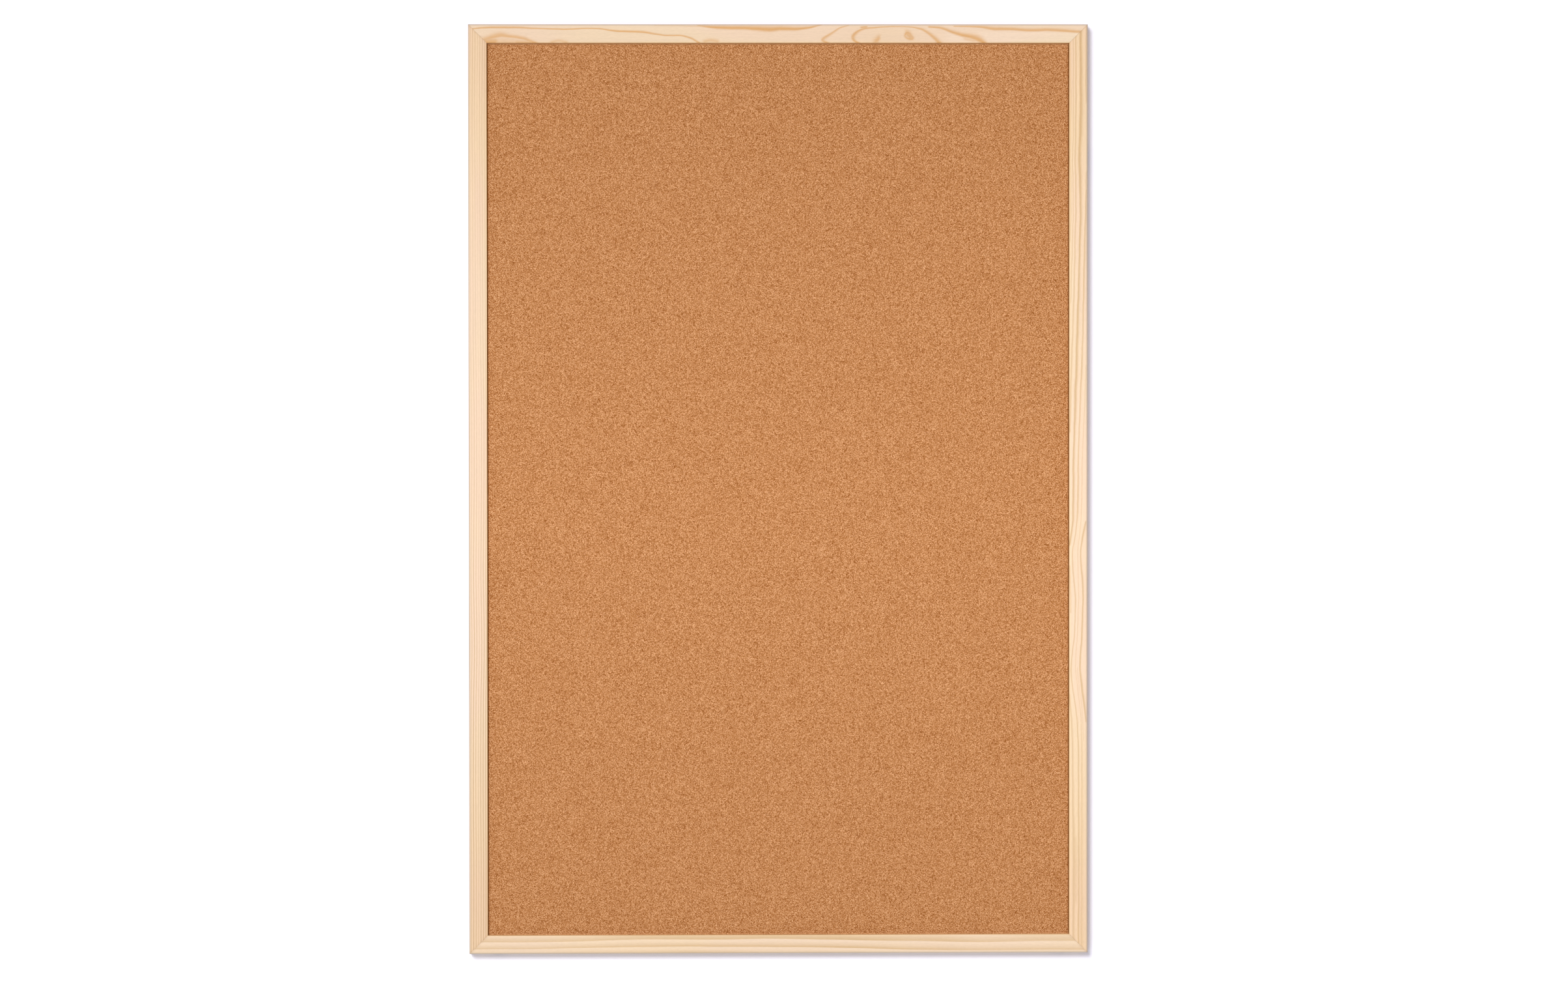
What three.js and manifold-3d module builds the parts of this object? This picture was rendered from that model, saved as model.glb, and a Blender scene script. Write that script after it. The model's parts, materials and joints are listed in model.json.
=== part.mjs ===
// A cork notice board in a mitred pine frame, built from its separate pieces, as it hangs on a wall.
// Sizes are millimetres. X runs to the right, Z up, and the cork faces -Y. The wall is the plane Y = 0,
// and the origin lies on it, midway between the two hooks that carry the board's rings.
import * as THREE from "three";
import { mergeVertices } from "three/addons/utils/BufferGeometryUtils.js";
import Module from "manifold-3d";

const wasm = await Module();
wasm.setup();

// The board as a whole
const boardWidth = 600;
const boardHeight = 900;
const hookDrop = 120; // from the top edge down to the hooks
const wallClearance = 0.2; // between the wall and the hangers, which reach furthest back
const hairline = 0.1; // between hardware or glued layers and what they sit on

// Frame moulding, seen in section: its width runs in from the outer edge, its depth from the back
const mouldingWidth = 18;
const lipThickness = 5; // wood in front of the cork
const rebateWidth = 6; // how far that lip covers the panel's edge
const faceCrown = 0.3; // rise of the front face in its middle
const outerRound = 2.2;
const innerRound = 1.6;
const backChamfer = 0.5;
const mitreGap = 0.3; // the glue line between two mitred ends

// Panel, from the front to the back
const corkThickness = 2;
const coreThickness = 6;
const paperThickness = 0.4;
const panelClearance = 1; // between the panel's edge and the wall of the rebate
const panelDivisions = 3; // of each face, so that its middle part lies clear of the frame

// V-shaped steel nails, two across each mitre
const nailLeg = 5;
const nailSheet = 0.6;
const nailCurl = 0.9; // the bent end of each leg
const nailHeight = 10;
const nailSink = 0.3; // below the back of the frame
const nailClearance = 0.2;
const nailInsetShares = { outer: 0.25, inner: 0.62 }; // of the nail's bend, in widths of the flat back

// Flat steel points, which hold the panel in the rebate
const pointLength = 15;
const pointWidth = 6;
const pointTip = 4; // length of the sharpened end
const pointSheet = 0.5;
const pointEmbed = 7; // driven into the wood
const pointClearance = 0.2;
const pointDepth = 1.7; // from the back of the frame to the points
const pointMargin = 60; // from the frame's outer corner to the nearest point
const stilePointCount = 4;
const railPointCount = 3;

// Ring hangers: a folded strap, a ring of bent wire, and a screw
const hangerInset = 7.5; // of the strap's middle line, from the board's side
const strapWidth = 8;
const strapSheet = 0.6;
const strapTail = 4.6; // of the strap, beyond the middle of its screw
const strapCorner = 2.4; // radius of the tail's corners
const loopClearance = 0.2; // between the ring's wire and the strap's loop
const loopWrapDegrees = 235; // how far the strap winds round the wire
const loopPinch = 1.9; // from the wire's axis down to where the fold closes
const ringWidth = 13; // between the middles of the wire
const ringWire = 1.6;
const ringCorner = 2.2; // bend radius at the ends of the straight bar
const ringSplit = 0.4; // between the wire's two ends, inside the loop
const screwDrop = 14.5; // from the ring's bar down to the screw
const screwLength = 12;
const screwMajor = 2.9;
const screwCore = 2;
const screwPitch = 1.3;
const screwPoint = 2.4; // length of the tapering end
const screwClearance = 0.2;
const screwHeadWidth = 5.6;
const screwHeadHeight = 1.6;
const crossLength = 3; // of the driver's cross recess
const crossWidth = 0.7;
const crossDepth = 0.9;

// Rubber bumpers, which keep the bottom of the board off the wall
const bumperWidth = 9.5;
const bumperFlat = 5.6; // width of the flat that meets the wall
const bumperSkirt = 0.9; // height of the straight side at its base
const bumperInset = 28; // from the board's side

// How finely round shapes are divided
const arcSteps = 7;
const wireSides = 10;
const ringSteps = 44;
const screwSides = 16;
const bumperSides = 28;
const loopSteps = 12;

const landWidth = mouldingWidth - rebateWidth; // the frame's flat back
const panelThickness = corkThickness + coreThickness + paperThickness + 2 * hairline;
const rebateDepth = hairline + panelThickness + hairline + pointSheet + pointDepth;
const mouldingDepth = rebateDepth + lipThickness;
const cutOverrun = 1; // how far every cutter runs past what it cuts

// Materials
const finish = (color, roughness, metalness = 0) =>
  new THREE.MeshStandardMaterial({ color, roughness, metalness });
const pine = finish(0xf2d5b0, 0.62);
const cork = finish(0xc88a5a, 0.92);
const softboard = finish(0xb79a72, 0.95);
const kraftPaper = finish(0xb98f63, 0.85);
const nailSteel = finish(0x8d8f92, 0.45, 1);
const zincPlate = finish(0xc2c5c9, 0.32, 1);
const rubber = finish(0x2b2b2c, 0.75);

// Turns a closed geometry into a solid that can be cut.
function toSolid(geometry) {
  const bare = geometry.clone();
  bare.deleteAttribute("normal");
  bare.deleteAttribute("uv");
  const merged = mergeVertices(bare);
  return new wasm.Manifold(
    new wasm.Mesh({
      numProp: 3,
      vertProperties: merged.attributes.position.array,
      triVerts: new Uint32Array(merged.index.array),
    }),
  );
}

function toGeometry(solid) {
  const mesh = solid.getMesh();
  const indexed = new THREE.BufferGeometry();
  indexed.setAttribute("position", new THREE.BufferAttribute(mesh.vertProperties, 3));
  indexed.setIndex(new THREE.BufferAttribute(mesh.triVerts, 1));
  const faceted = indexed.toNonIndexed();
  faceted.computeVertexNormals();
  return faceted;
}

function cut(geometry, cutters) {
  const left = cutters.reduce((solid, cutter) => solid.subtract(toSolid(cutter)), toSolid(geometry));
  return toGeometry(left);
}

function piece(name, geometry, material) {
  const mesh = new THREE.Mesh(geometry, material);
  mesh.name = name;
  return mesh;
}

function placed(group, x, y, z, turn = 0) {
  group.position.set(x, y, z);
  group.rotation.y = turn;
  return group;
}

// A shape drawn in X and Z, made into a plate that lies between two depths in Y.
function plate(shape, fromY, toY) {
  const geometry = new THREE.ExtrudeGeometry(shape, {
    depth: toY - fromY,
    bevelEnabled: false,
    curveSegments: arcSteps,
  });
  return geometry.rotateX(Math.PI / 2).translate(0, toY, 0);
}

// The outline of a strip of sheet that follows a bent line, with a sharp corner at each bend.
function stripShape(line, thickness, extraLength = 0) {
  const ends = line.map((p) => p.clone());
  const last = ends.length - 1;
  const startWay = new THREE.Vector2().subVectors(ends[0], ends[1]).normalize();
  const endWay = new THREE.Vector2().subVectors(ends[last], ends[last - 1]).normalize();
  ends[0].addScaledVector(startWay, extraLength);
  ends[last].addScaledVector(endWay, extraLength);
  const normalOf = (a, b) => {
    const way = new THREE.Vector2().subVectors(b, a).normalize();
    return new THREE.Vector2(-way.y, way.x);
  };
  const left = [];
  const right = [];
  ends.forEach((p, i) => {
    const before = normalOf(ends[Math.max(i - 1, 0)], ends[Math.max(i, 1)]);
    const after = normalOf(ends[Math.min(i, last - 1)], ends[Math.min(i + 1, last)]);
    const middle = new THREE.Vector2().addVectors(before, after).normalize();
    const reach = thickness / 2 / middle.dot(before);
    left.push(p.clone().addScaledVector(middle, reach));
    right.push(p.clone().addScaledVector(middle, -reach));
  });
  return new THREE.Shape([...left, ...right.reverse()]);
}

// Moulding section: a crowned face whose two edges are rounded tangent to the crown and to the sides.
function mouldingSection() {
  const middle = mouldingWidth / 2;
  const crownRadius = (middle ** 2 + faceCrown ** 2) / (2 * faceCrown);
  const crownCentre = mouldingDepth - crownRadius;
  const roundCentre = (round) =>
    crownCentre + Math.sqrt((crownRadius - round) ** 2 - (middle - round) ** 2);
  const outerCentre = roundCentre(outerRound);
  const innerCentre = roundCentre(innerRound);
  const outerAngle = Math.atan2(outerCentre - crownCentre, outerRound - middle);
  const innerAngle = Math.atan2(innerCentre - crownCentre, middle - innerRound);
  const section = new THREE.Shape();
  section.moveTo(backChamfer, 0);
  section.lineTo(landWidth, 0);
  section.lineTo(landWidth, rebateDepth);
  section.lineTo(mouldingWidth, rebateDepth);
  section.absarc(mouldingWidth - innerRound, innerCentre, innerRound, 0, innerAngle, false);
  section.absarc(middle, crownCentre, crownRadius, innerAngle, outerAngle, false);
  section.absarc(outerRound, outerCentre, outerRound, outerAngle, Math.PI, false);
  section.lineTo(0, backChamfer);
  return section;
}

// One side of the frame, lying along X with its outer edge at Z = 0 and its back at Y = 0.
function mouldingLength(length) {
  const geometry = new THREE.ExtrudeGeometry(mouldingSection(), {
    depth: length,
    bevelEnabled: false,
    curveSegments: arcSteps,
  });
  const inward = new THREE.Vector3(0, 0, 1);
  const forward = new THREE.Vector3(0, -1, 0);
  const along = new THREE.Vector3(1, 0, 0);
  geometry.applyMatrix4(new THREE.Matrix4().makeBasis(inward, forward, along));
  const setback = mitreGap * Math.SQRT1_2;
  const places = geometry.attributes.position;
  for (let i = 0; i < places.count; i++) {
    const end = length / 2 - places.getZ(i) - setback;
    places.setX(i, places.getX(i) < length / 2 ? -end : end);
  }
  return geometry;
}

// The bent line of a V nail in the back corner of the frame, its two legs along +X and +Z.
function nailLine(inset) {
  const tip = inset + nailLeg;
  const curl = nailCurl * Math.SQRT1_2;
  return [
    [tip + curl, inset - curl],
    [tip, inset],
    [inset, inset],
    [inset, tip],
    [inset - curl, tip + curl],
  ].map(([x, z]) => new THREE.Vector2(x, z));
}

function nailBody(inset) {
  const shape = stripShape(nailLine(inset), nailSheet);
  return plate(shape, -nailSink - nailHeight, -nailSink);
}

function nailPocket(inset) {
  const shape = stripShape(nailLine(inset), nailSheet + 2 * nailClearance, nailClearance);
  return plate(shape, -nailSink - nailHeight - nailClearance, cutOverrun);
}

// A flat point in plan: its tail lies over the panel, and its sharp end is in the wood.
function pointShape(margin) {
  const half = pointWidth / 2 + margin;
  const tipEnd = landWidth - pointEmbed - margin;
  const shoulder = tipEnd + pointTip;
  const tailEnd = landWidth - pointEmbed + pointLength + margin;
  return new THREE.Shape([
    new THREE.Vector2(0, tipEnd),
    new THREE.Vector2(half, shoulder),
    new THREE.Vector2(half, tailEnd),
    new THREE.Vector2(-half, tailEnd),
    new THREE.Vector2(-half, shoulder),
  ]);
}

// Depths in the panel, measured from the back of the frame
const corkFront = hairline - rebateDepth;
const corkBack = corkFront + corkThickness;
const coreBack = corkBack + hairline + coreThickness;
const paperBack = coreBack + hairline + paperThickness;
const pointBack = -pointDepth;
const pointFront = pointBack - pointSheet;

const pointBody = () => plate(pointShape(0), pointFront, pointBack);
const pointSlot = () => plate(pointShape(pointClearance), pointFront - pointClearance, pointBack + pointClearance);

// Heights of the hangers, measured from the middle of the board
const hookBearing = ringCorner + (ringWidth - ringWire) / 2; // from the ring's bar up to the hook
const barHeight = boardHeight / 2 - hookDrop - hookBearing;
const screwHeight = barHeight - screwDrop;

function pilotHole(along) {
  const hole = new THREE.CylinderGeometry(
    screwMajor / 2 + screwClearance,
    screwMajor / 2 + screwClearance,
    screwLength + cutOverrun,
    screwSides,
  );
  return hole.translate(along, cutOverrun - (screwLength + cutOverrun) / 2, hangerInset);
}

// A side of the frame with the flat points in its rebate.
function frameSide({ name, length, pointCount, holeAlong, x, z, turn }) {
  const side = placed(new THREE.Group(), x, 0, z, turn);
  const pointSpan = length - 2 * pointMargin;
  const pointPlaces = Array.from({ length: pointCount }, (_, i) => pointSpan * (i / (pointCount - 1) - 1 / 2));
  const cutters = pointPlaces.map((along) => pointSlot().translate(along, 0, 0));
  for (const share of Object.values(nailInsetShares)) {
    const pocket = () => nailPocket(share * landWidth);
    cutters.push(pocket().translate(-length / 2, 0, 0));
    cutters.push(pocket().rotateY(-Math.PI / 2).translate(length / 2, 0, 0));
  }
  if (holeAlong !== undefined) cutters.push(pilotHole(holeAlong));
  side.add(piece(name, cut(mouldingLength(length), cutters), pine));
  pointPlaces.forEach((along, i) => {
    side.add(placed(piece(`${name}_point_${i + 1}`, pointBody(), nailSteel), along, 0, 0));
  });
  return side;
}

function frame() {
  const group = new THREE.Group();
  const halfWidth = boardWidth / 2;
  const halfHeight = boardHeight / 2;
  const rail = { length: boardWidth, pointCount: railPointCount, x: 0 };
  const stile = { length: boardHeight, pointCount: stilePointCount, z: 0 };
  const sides = [
    { ...rail, name: "bottom_rail", z: -halfHeight, turn: 0 },
    { ...stile, name: "left_stile", x: -halfWidth, turn: Math.PI / 2, holeAlong: -screwHeight },
    { ...rail, name: "top_rail", z: halfHeight, turn: Math.PI },
    { ...stile, name: "right_stile", x: halfWidth, turn: -Math.PI / 2, holeAlong: screwHeight },
  ];
  group.add(...sides.map(frameSide));
  const corners = [
    ["bottom_left", -halfWidth, -halfHeight, 0],
    ["top_left", -halfWidth, halfHeight, Math.PI / 2],
    ["top_right", halfWidth, halfHeight, Math.PI],
    ["bottom_right", halfWidth, -halfHeight, -Math.PI / 2],
  ];
  for (const [name, x, z, turn] of corners) {
    const corner = placed(new THREE.Group(), x, 0, z, turn);
    for (const [row, share] of Object.entries(nailInsetShares)) {
      corner.add(piece(`${name}_${row}_v_nail`, nailBody(share * landWidth), nailSteel));
    }
    group.add(corner);
  }
  return group;
}

// The cork, its softboard core and the kraft paper on the back are one glued panel.
function panel() {
  const group = new THREE.Group();
  const width = boardWidth - 2 * (landWidth + panelClearance);
  const height = boardHeight - 2 * (landWidth + panelClearance);
  const layer = (name, thickness, back, material) => {
    const box = new THREE.BoxGeometry(width, thickness, height, panelDivisions, 1, panelDivisions);
    return placed(piece(name, box, material), 0, back - thickness / 2, 0);
  };
  group.add(layer("cork_sheet", corkThickness, corkBack, cork));
  group.add(layer("softboard_core", coreThickness, coreBack, softboard));
  group.add(layer("backing_paper", paperThickness, paperBack, kraftPaper));
  return group;
}

// Depths in a hanger, measured from the back of the frame
const loopInner = ringWire / 2 + loopClearance;
const loopMiddle = loopInner + strapSheet / 2;
const barDepth = hairline + strapSheet + loopInner;
const strapBack = 2 * (hairline + strapSheet);
const wallGap = barDepth + loopInner + strapSheet + wallClearance;

// The strap's fold seen from the side: up the wood, round the wire and down again over the first leg.
function strapFold() {
  const foot = -screwDrop - strapTail;
  const outerLeg = -loopMiddle + strapSheet + hairline;
  const line = [new THREE.Vector2(-loopMiddle, foot), new THREE.Vector2(-loopMiddle, 0)];
  for (let i = 1; i <= loopSteps; i++) {
    const angle = Math.PI - (THREE.MathUtils.degToRad(loopWrapDegrees) * i) / loopSteps;
    line.push(new THREE.Vector2(loopMiddle * Math.cos(angle), loopMiddle * Math.sin(angle)));
  }
  line.push(new THREE.Vector2(outerLeg, -loopPinch - strapSheet));
  line.push(new THREE.Vector2(outerLeg, foot));
  return stripShape(line, strapSheet);
}

// The strap seen from the front: square at the loop, with rounded corners at its tail.
function strapPlan() {
  const half = strapWidth / 2;
  const top = loopInner + strapSheet + cutOverrun;
  const cornerHeight = strapCorner - screwDrop - strapTail;
  const plan = new THREE.Shape();
  plan.moveTo(half, top);
  plan.lineTo(-half, top);
  plan.absarc(strapCorner - half, cornerHeight, strapCorner, Math.PI, 1.5 * Math.PI, false);
  plan.absarc(half - strapCorner, cornerHeight, strapCorner, -Math.PI / 2, 0, false);
  return plan;
}

function strapBody() {
  const folded = new THREE.ExtrudeGeometry(strapFold(), {
    depth: strapWidth + 2 * cutOverrun,
    bevelEnabled: false,
  });
  const outward = new THREE.Vector3(0, 1, 0);
  const up = new THREE.Vector3(0, 0, 1);
  const across = new THREE.Vector3(1, 0, 0);
  folded.applyMatrix4(new THREE.Matrix4().makeBasis(outward, up, across));
  folded.translate(-strapWidth / 2 - cutOverrun, 0, 0);
  const reach = loopInner + strapSheet + cutOverrun;
  const outline = plate(strapPlan(), -reach, reach);
  const hole = new THREE.CylinderGeometry(
    screwMajor / 2 + screwClearance,
    screwMajor / 2 + screwClearance,
    2 * reach,
    screwSides,
  ).translate(0, 0, -screwDrop);
  return toGeometry(toSolid(folded).intersect(toSolid(outline)).subtract(toSolid(hole)));
}

// An arc in the ring's own plane, between two angles about a centre.
class RingArc extends THREE.Curve {
  constructor(centreX, centreZ, radius, from, to) {
    super();
    Object.assign(this, { centreX, centreZ, radius, from, to });
  }
  getPoint(t, target = new THREE.Vector3()) {
    const angle = this.from + (this.to - this.from) * t;
    const x = this.centreX + this.radius * Math.cos(angle);
    return target.set(x, 0, this.centreZ + this.radius * Math.sin(angle));
  }
}

// The ring is a D of bent wire: a straight bar in the loop, two bends and a half circle over it.
function ringBody() {
  const barHalf = ringWidth / 2 - ringCorner;
  const line = new THREE.CurvePath();
  const bar = (from, to) => line.add(new THREE.LineCurve3(new THREE.Vector3(from), new THREE.Vector3(to)));
  bar(ringSplit / 2, barHalf);
  line.add(new RingArc(barHalf, ringCorner, ringCorner, -Math.PI / 2, 0));
  line.add(new RingArc(0, ringCorner, ringWidth / 2, 0, Math.PI));
  line.add(new RingArc(-barHalf, ringCorner, ringCorner, Math.PI, 1.5 * Math.PI));
  bar(-barHalf, -ringSplit / 2);
  const wire = new THREE.Shape().absarc(0, 0, ringWire / 2, 0, 2 * Math.PI, false);
  return new THREE.ExtrudeGeometry(wire, {
    steps: ringSteps,
    curveSegments: wireSides,
    extrudePath: line,
  });
}

// A round-headed wood screw, its head's seat at Y = 0 and its point towards -Y.
function screwBody() {
  const profile = [new THREE.Vector2(0, -screwLength)];
  const threadTop = -screwHeadHeight;
  const turns = Math.floor((screwLength - screwPoint - screwHeadHeight) / screwPitch);
  for (let i = turns; i >= 0; i--) {
    const y = threadTop - i * screwPitch;
    profile.push(new THREE.Vector2(screwCore / 2, y - screwPitch / 2));
    profile.push(new THREE.Vector2(screwMajor / 2, y));
  }
  profile.push(new THREE.Vector2(screwCore / 2, threadTop + screwPitch / 2));
  profile.push(new THREE.Vector2(screwCore / 2, 0));
  for (let i = 0; i <= arcSteps; i++) {
    const angle = ((Math.PI / 2) * i) / arcSteps;
    const radius = (screwHeadWidth / 2) * Math.cos(angle);
    profile.push(new THREE.Vector2(radius, screwHeadHeight * Math.sin(angle)));
  }
  profile[profile.length - 1].setX(0);
  const turned = new THREE.LatheGeometry(profile, screwSides);
  const slot = () => new THREE.BoxGeometry(crossLength, 2 * crossDepth, crossWidth).translate(0, screwHeadHeight, 0);
  return cut(turned, [slot(), slot().rotateY(Math.PI / 2)]);
}

function hanger(name, x) {
  const group = placed(new THREE.Group(), x, barDepth, barHeight);
  const screw = piece(`${name}_hanger_screw`, screwBody(), zincPlate);
  group.add(piece(`${name}_hanger_strap`, strapBody(), zincPlate));
  group.add(piece(`${name}_hanger_ring`, ringBody(), zincPlate));
  group.add(placed(screw, 0, strapBack + hairline - barDepth, -screwDrop));
  return group;
}

// A domed rubber bumper, stuck to the back of the bottom rail and just reaching the wall.
function bumperBody() {
  const height = wallGap - hairline;
  const domeWidth = (bumperWidth - bumperFlat) / 2;
  const profile = [new THREE.Vector2(0, 0), new THREE.Vector2(bumperWidth / 2, 0)];
  for (let i = 0; i <= arcSteps; i++) {
    const angle = ((Math.PI / 2) * i) / arcSteps;
    const radius = bumperFlat / 2 + domeWidth * Math.cos(angle);
    profile.push(new THREE.Vector2(radius, bumperSkirt + (height - bumperSkirt) * Math.sin(angle)));
  }
  profile.push(new THREE.Vector2(0, height));
  return new THREE.LatheGeometry(profile, bumperSides);
}

const board = new THREE.Group();
board.position.set(0, -wallGap, hookDrop - boardHeight / 2);
board.add(frame(), panel());
for (const [name, side] of [["left", -1], ["right", 1]]) {
  board.add(hanger(name, side * (boardWidth / 2 - hangerInset)));
  const bumper = piece(`${name}_bumper`, bumperBody(), rubber);
  const bumperHeight = landWidth / 2 - boardHeight / 2;
  board.add(placed(bumper, side * (boardWidth / 2 - bumperInset), hairline, bumperHeight));
}

const part = new THREE.Group();
part.add(board);

export default part;
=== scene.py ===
# %% [markdown]
# # A cork notice board in a pine frame
#
# The board hangs on a white wall. Its solid model is already built: this script dresses it. Each piece
# keeps the place and size that the model gives it, and gets the surface that the real one has.
# The world is in metres, with +Z up and the cork facing -Y. The wall is the plane y = 0.

# %% Load the model
import json
import math

import bmesh
import bpy
import numpy as np
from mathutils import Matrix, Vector


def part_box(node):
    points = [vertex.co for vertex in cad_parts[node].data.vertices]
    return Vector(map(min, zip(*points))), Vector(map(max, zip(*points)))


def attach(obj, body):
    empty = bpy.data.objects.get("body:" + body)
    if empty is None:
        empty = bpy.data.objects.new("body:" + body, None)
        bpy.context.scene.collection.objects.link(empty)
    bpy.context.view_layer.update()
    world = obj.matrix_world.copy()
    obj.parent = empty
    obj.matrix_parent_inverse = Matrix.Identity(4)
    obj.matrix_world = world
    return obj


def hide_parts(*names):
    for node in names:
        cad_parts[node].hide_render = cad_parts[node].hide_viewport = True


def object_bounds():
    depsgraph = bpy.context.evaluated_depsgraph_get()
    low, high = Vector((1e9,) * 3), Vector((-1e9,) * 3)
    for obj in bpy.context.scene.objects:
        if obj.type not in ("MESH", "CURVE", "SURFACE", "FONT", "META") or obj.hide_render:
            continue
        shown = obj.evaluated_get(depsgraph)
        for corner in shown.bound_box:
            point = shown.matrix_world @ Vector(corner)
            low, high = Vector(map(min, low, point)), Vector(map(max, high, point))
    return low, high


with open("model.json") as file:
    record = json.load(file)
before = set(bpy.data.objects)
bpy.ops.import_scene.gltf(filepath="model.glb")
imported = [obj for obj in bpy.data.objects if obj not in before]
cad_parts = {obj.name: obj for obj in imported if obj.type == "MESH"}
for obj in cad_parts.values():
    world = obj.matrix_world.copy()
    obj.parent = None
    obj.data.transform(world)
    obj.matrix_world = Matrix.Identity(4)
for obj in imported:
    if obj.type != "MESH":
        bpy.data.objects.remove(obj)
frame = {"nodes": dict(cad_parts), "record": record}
solid_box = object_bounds()
MM = 0.001
print(len(frame["nodes"]), "solid pieces, overall box", solid_box)

# %% [markdown]
# ## The camera
#
# The board is photographed from the front, a little left of its middle and a little above it, so its
# edges stay almost parallel. A long lens far away does that. A wide lens close by would show the insides
# of the lips, and would hide the shadow on the wall behind the board's own edges. The place and the turn
# below put the four corners of the frame where the photograph has them, to within three pixels of 2408.

# %% Camera
CAMERA_PLACE = (-0.2154, -8.454, -0.113)
CAMERA_TURN = (88.5, 0.0375, -1.5)  # degrees, about X, Y and Z
LENS = 200  # millimetres
SENSOR = 36  # millimetres wide


def link(data, name):
    """Puts a mesh, a lamp or a camera into the scene."""
    made = bpy.data.objects.new(name, data)
    bpy.context.scene.collection.objects.link(made)
    return made


camera = link(bpy.data.cameras.new("camera"), "camera")
camera.data.lens = LENS
camera.data.sensor_width = SENSOR
camera.location = CAMERA_PLACE
camera.rotation_euler = [math.radians(angle) for angle in CAMERA_TURN]
bpy.context.scene.camera = camera
print("camera", round(Vector(CAMERA_PLACE).length, 2), "m from the hooks")

# %% [markdown]
# ## Shader sums as plain Python
#
# A material is a graph of small nodes, and wiring them one by one hides the idea. Here a socket is
# wrapped in a class that knows +, -, * and so on, so `0.9 + 0.2 * grain` adds its own Math nodes.
# Every other node comes from one method, `add`, which takes its settings first and then its inputs.

# %% Wires
class Wire:
    """A shader value that can stand in a Python sum."""

    def __init__(self, finish, socket):
        self.finish = finish
        self.socket = socket

    def math(self, operation, *values):
        return self.finish.add("ShaderNodeMath", {"operation": operation}, dict(enumerate(values)))

    def __add__(self, other):
        return self.math("ADD", self, other)

    def __radd__(self, other):
        return self.math("ADD", other, self)

    def __sub__(self, other):
        return self.math("SUBTRACT", self, other)

    def __rsub__(self, other):
        return self.math("SUBTRACT", other, self)

    def __mul__(self, other):
        return self.math("MULTIPLY", self, other)

    def __rmul__(self, other):
        return self.math("MULTIPLY", other, self)

    def __truediv__(self, other):
        return self.math("DIVIDE", self, other)

    def __pow__(self, other):
        return self.math("POWER", self, other)

    def __abs__(self):
        return self.math("ABSOLUTE", self)

    def above(self, low, high):
        """0 below low, 1 above high, and smooth between them."""
        settings = {"interpolation_type": "SMOOTHSTEP"}
        return self.finish.add("ShaderNodeMapRange", settings, {0: self, 1: low, 2: high})


print("sums of sockets ready")

# %% Finishes
class Finish:
    """A material, and the nodes that colour it."""

    def __init__(self, name, constants):
        self.material = bpy.data.materials.new(name)
        self.material.use_nodes = True
        self.nodes = self.material.node_tree.nodes
        self.shader = self.nodes["Principled BSDF"]
        for socket, value in constants.items():
            self.feed(self.shader.inputs[socket], value)

    def add(self, kind, settings=None, inputs=None, output=0):
        """A new node of any kind: its settings first, then the values or links of its sockets."""
        node = self.nodes.new(kind)
        for key, value in (settings or {}).items():
            if key == "stops":
                self.set_stops(node.color_ramp, value)
            else:
                setattr(node, key, value)
        for key, value in (inputs or {}).items():
            self.feed(node.inputs[key], value)
        return Wire(self, node.outputs[output])

    def set_stops(self, ramp, stops):
        while len(ramp.elements) < len(stops):
            ramp.elements.new(1)
        for element, (place, colour) in zip(ramp.elements, stops):
            element.position = place
            element.color = (*colour, 1)

    def feed(self, socket, value):
        if isinstance(value, Wire):
            self.material.node_tree.links.new(value.socket, socket)
        elif isinstance(value, tuple) and socket.type == "RGBA":
            socket.default_value = (*value, 1)
        else:
            socket.default_value = value

    def place(self):
        """Where a point of the surface lies, in metres."""
        return self.add("ShaderNodeTexCoord", output="Object")

    def attribute(self, name, output="Fac"):
        """A value that was worked out for each corner of the mesh."""
        return self.add("ShaderNodeAttribute", {"attribute_name": name}, output=output)

    def scaled(self, vector, scale):
        """The vector with each of its three parts multiplied."""
        return self.add("ShaderNodeVectorMath", {"operation": "MULTIPLY"}, {0: vector, 1: scale})

    def noise(self, vector, scale=1.0, detail=2.0, roughness=0.5):
        """Soft random values around 0.5, as many to the metre as the scale says."""
        inputs = {"Vector": vector, "Scale": scale, "Detail": detail, "Roughness": roughness}
        return self.add("ShaderNodeTexNoise", {}, inputs)

    def mix(self, factor, first, second, blend="MIX"):
        """The first colour where the factor is 0, and the second where it is 1."""
        settings = {"data_type": "RGBA", "blend_type": blend}
        return self.add("ShaderNodeMix", settings, {0: factor, 6: first, 7: second}, output=2)

    def shade(self, colour, brightness):
        """The colour made darker or lighter by a number near 1."""
        grey = self.add("ShaderNodeCombineXYZ", {}, {0: brightness, 1: brightness, 2: brightness})
        return self.mix(1.0, colour, grey, "MULTIPLY")

    def bump(self, height, depth):
        """A normal tilted by a field of heights, where a height of 1 stands for depth metres."""
        inputs = {"Height": height, "Strength": 1.0, "Distance": depth}
        return self.add("ShaderNodeBump", {}, inputs)

    def part(self, vector, letter):
        """One of a vector's three numbers: X, Y or Z."""
        return self.add("ShaderNodeSeparateXYZ", {}, {0: vector}, letter)

    def paint(self, values):
        """Links values that vary over the surface to the shader."""
        for socket, value in values.items():
            self.feed(self.shader.inputs[socket], value)


print("finishes ready")

# %% [markdown]
# ## Wall, floor and light
#
# The photograph has a pure white wall, with a soft shadow only to the right of the board and below it.
# So one broad light comes from the upper left, almost square on, and an even surrounding fills the shade.
# The surrounding is faintly purple, as the shadow is. Only the camera sees pure white in its place.
#
# The wall is bright enough to go fully white. It takes the board's shadow but throws no light back. Seen
# from behind it is clear, so the board's back can be looked at too, in the light of a second lamp. The
# floor lies below the picture, and is there for the views from other sides.

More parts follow.
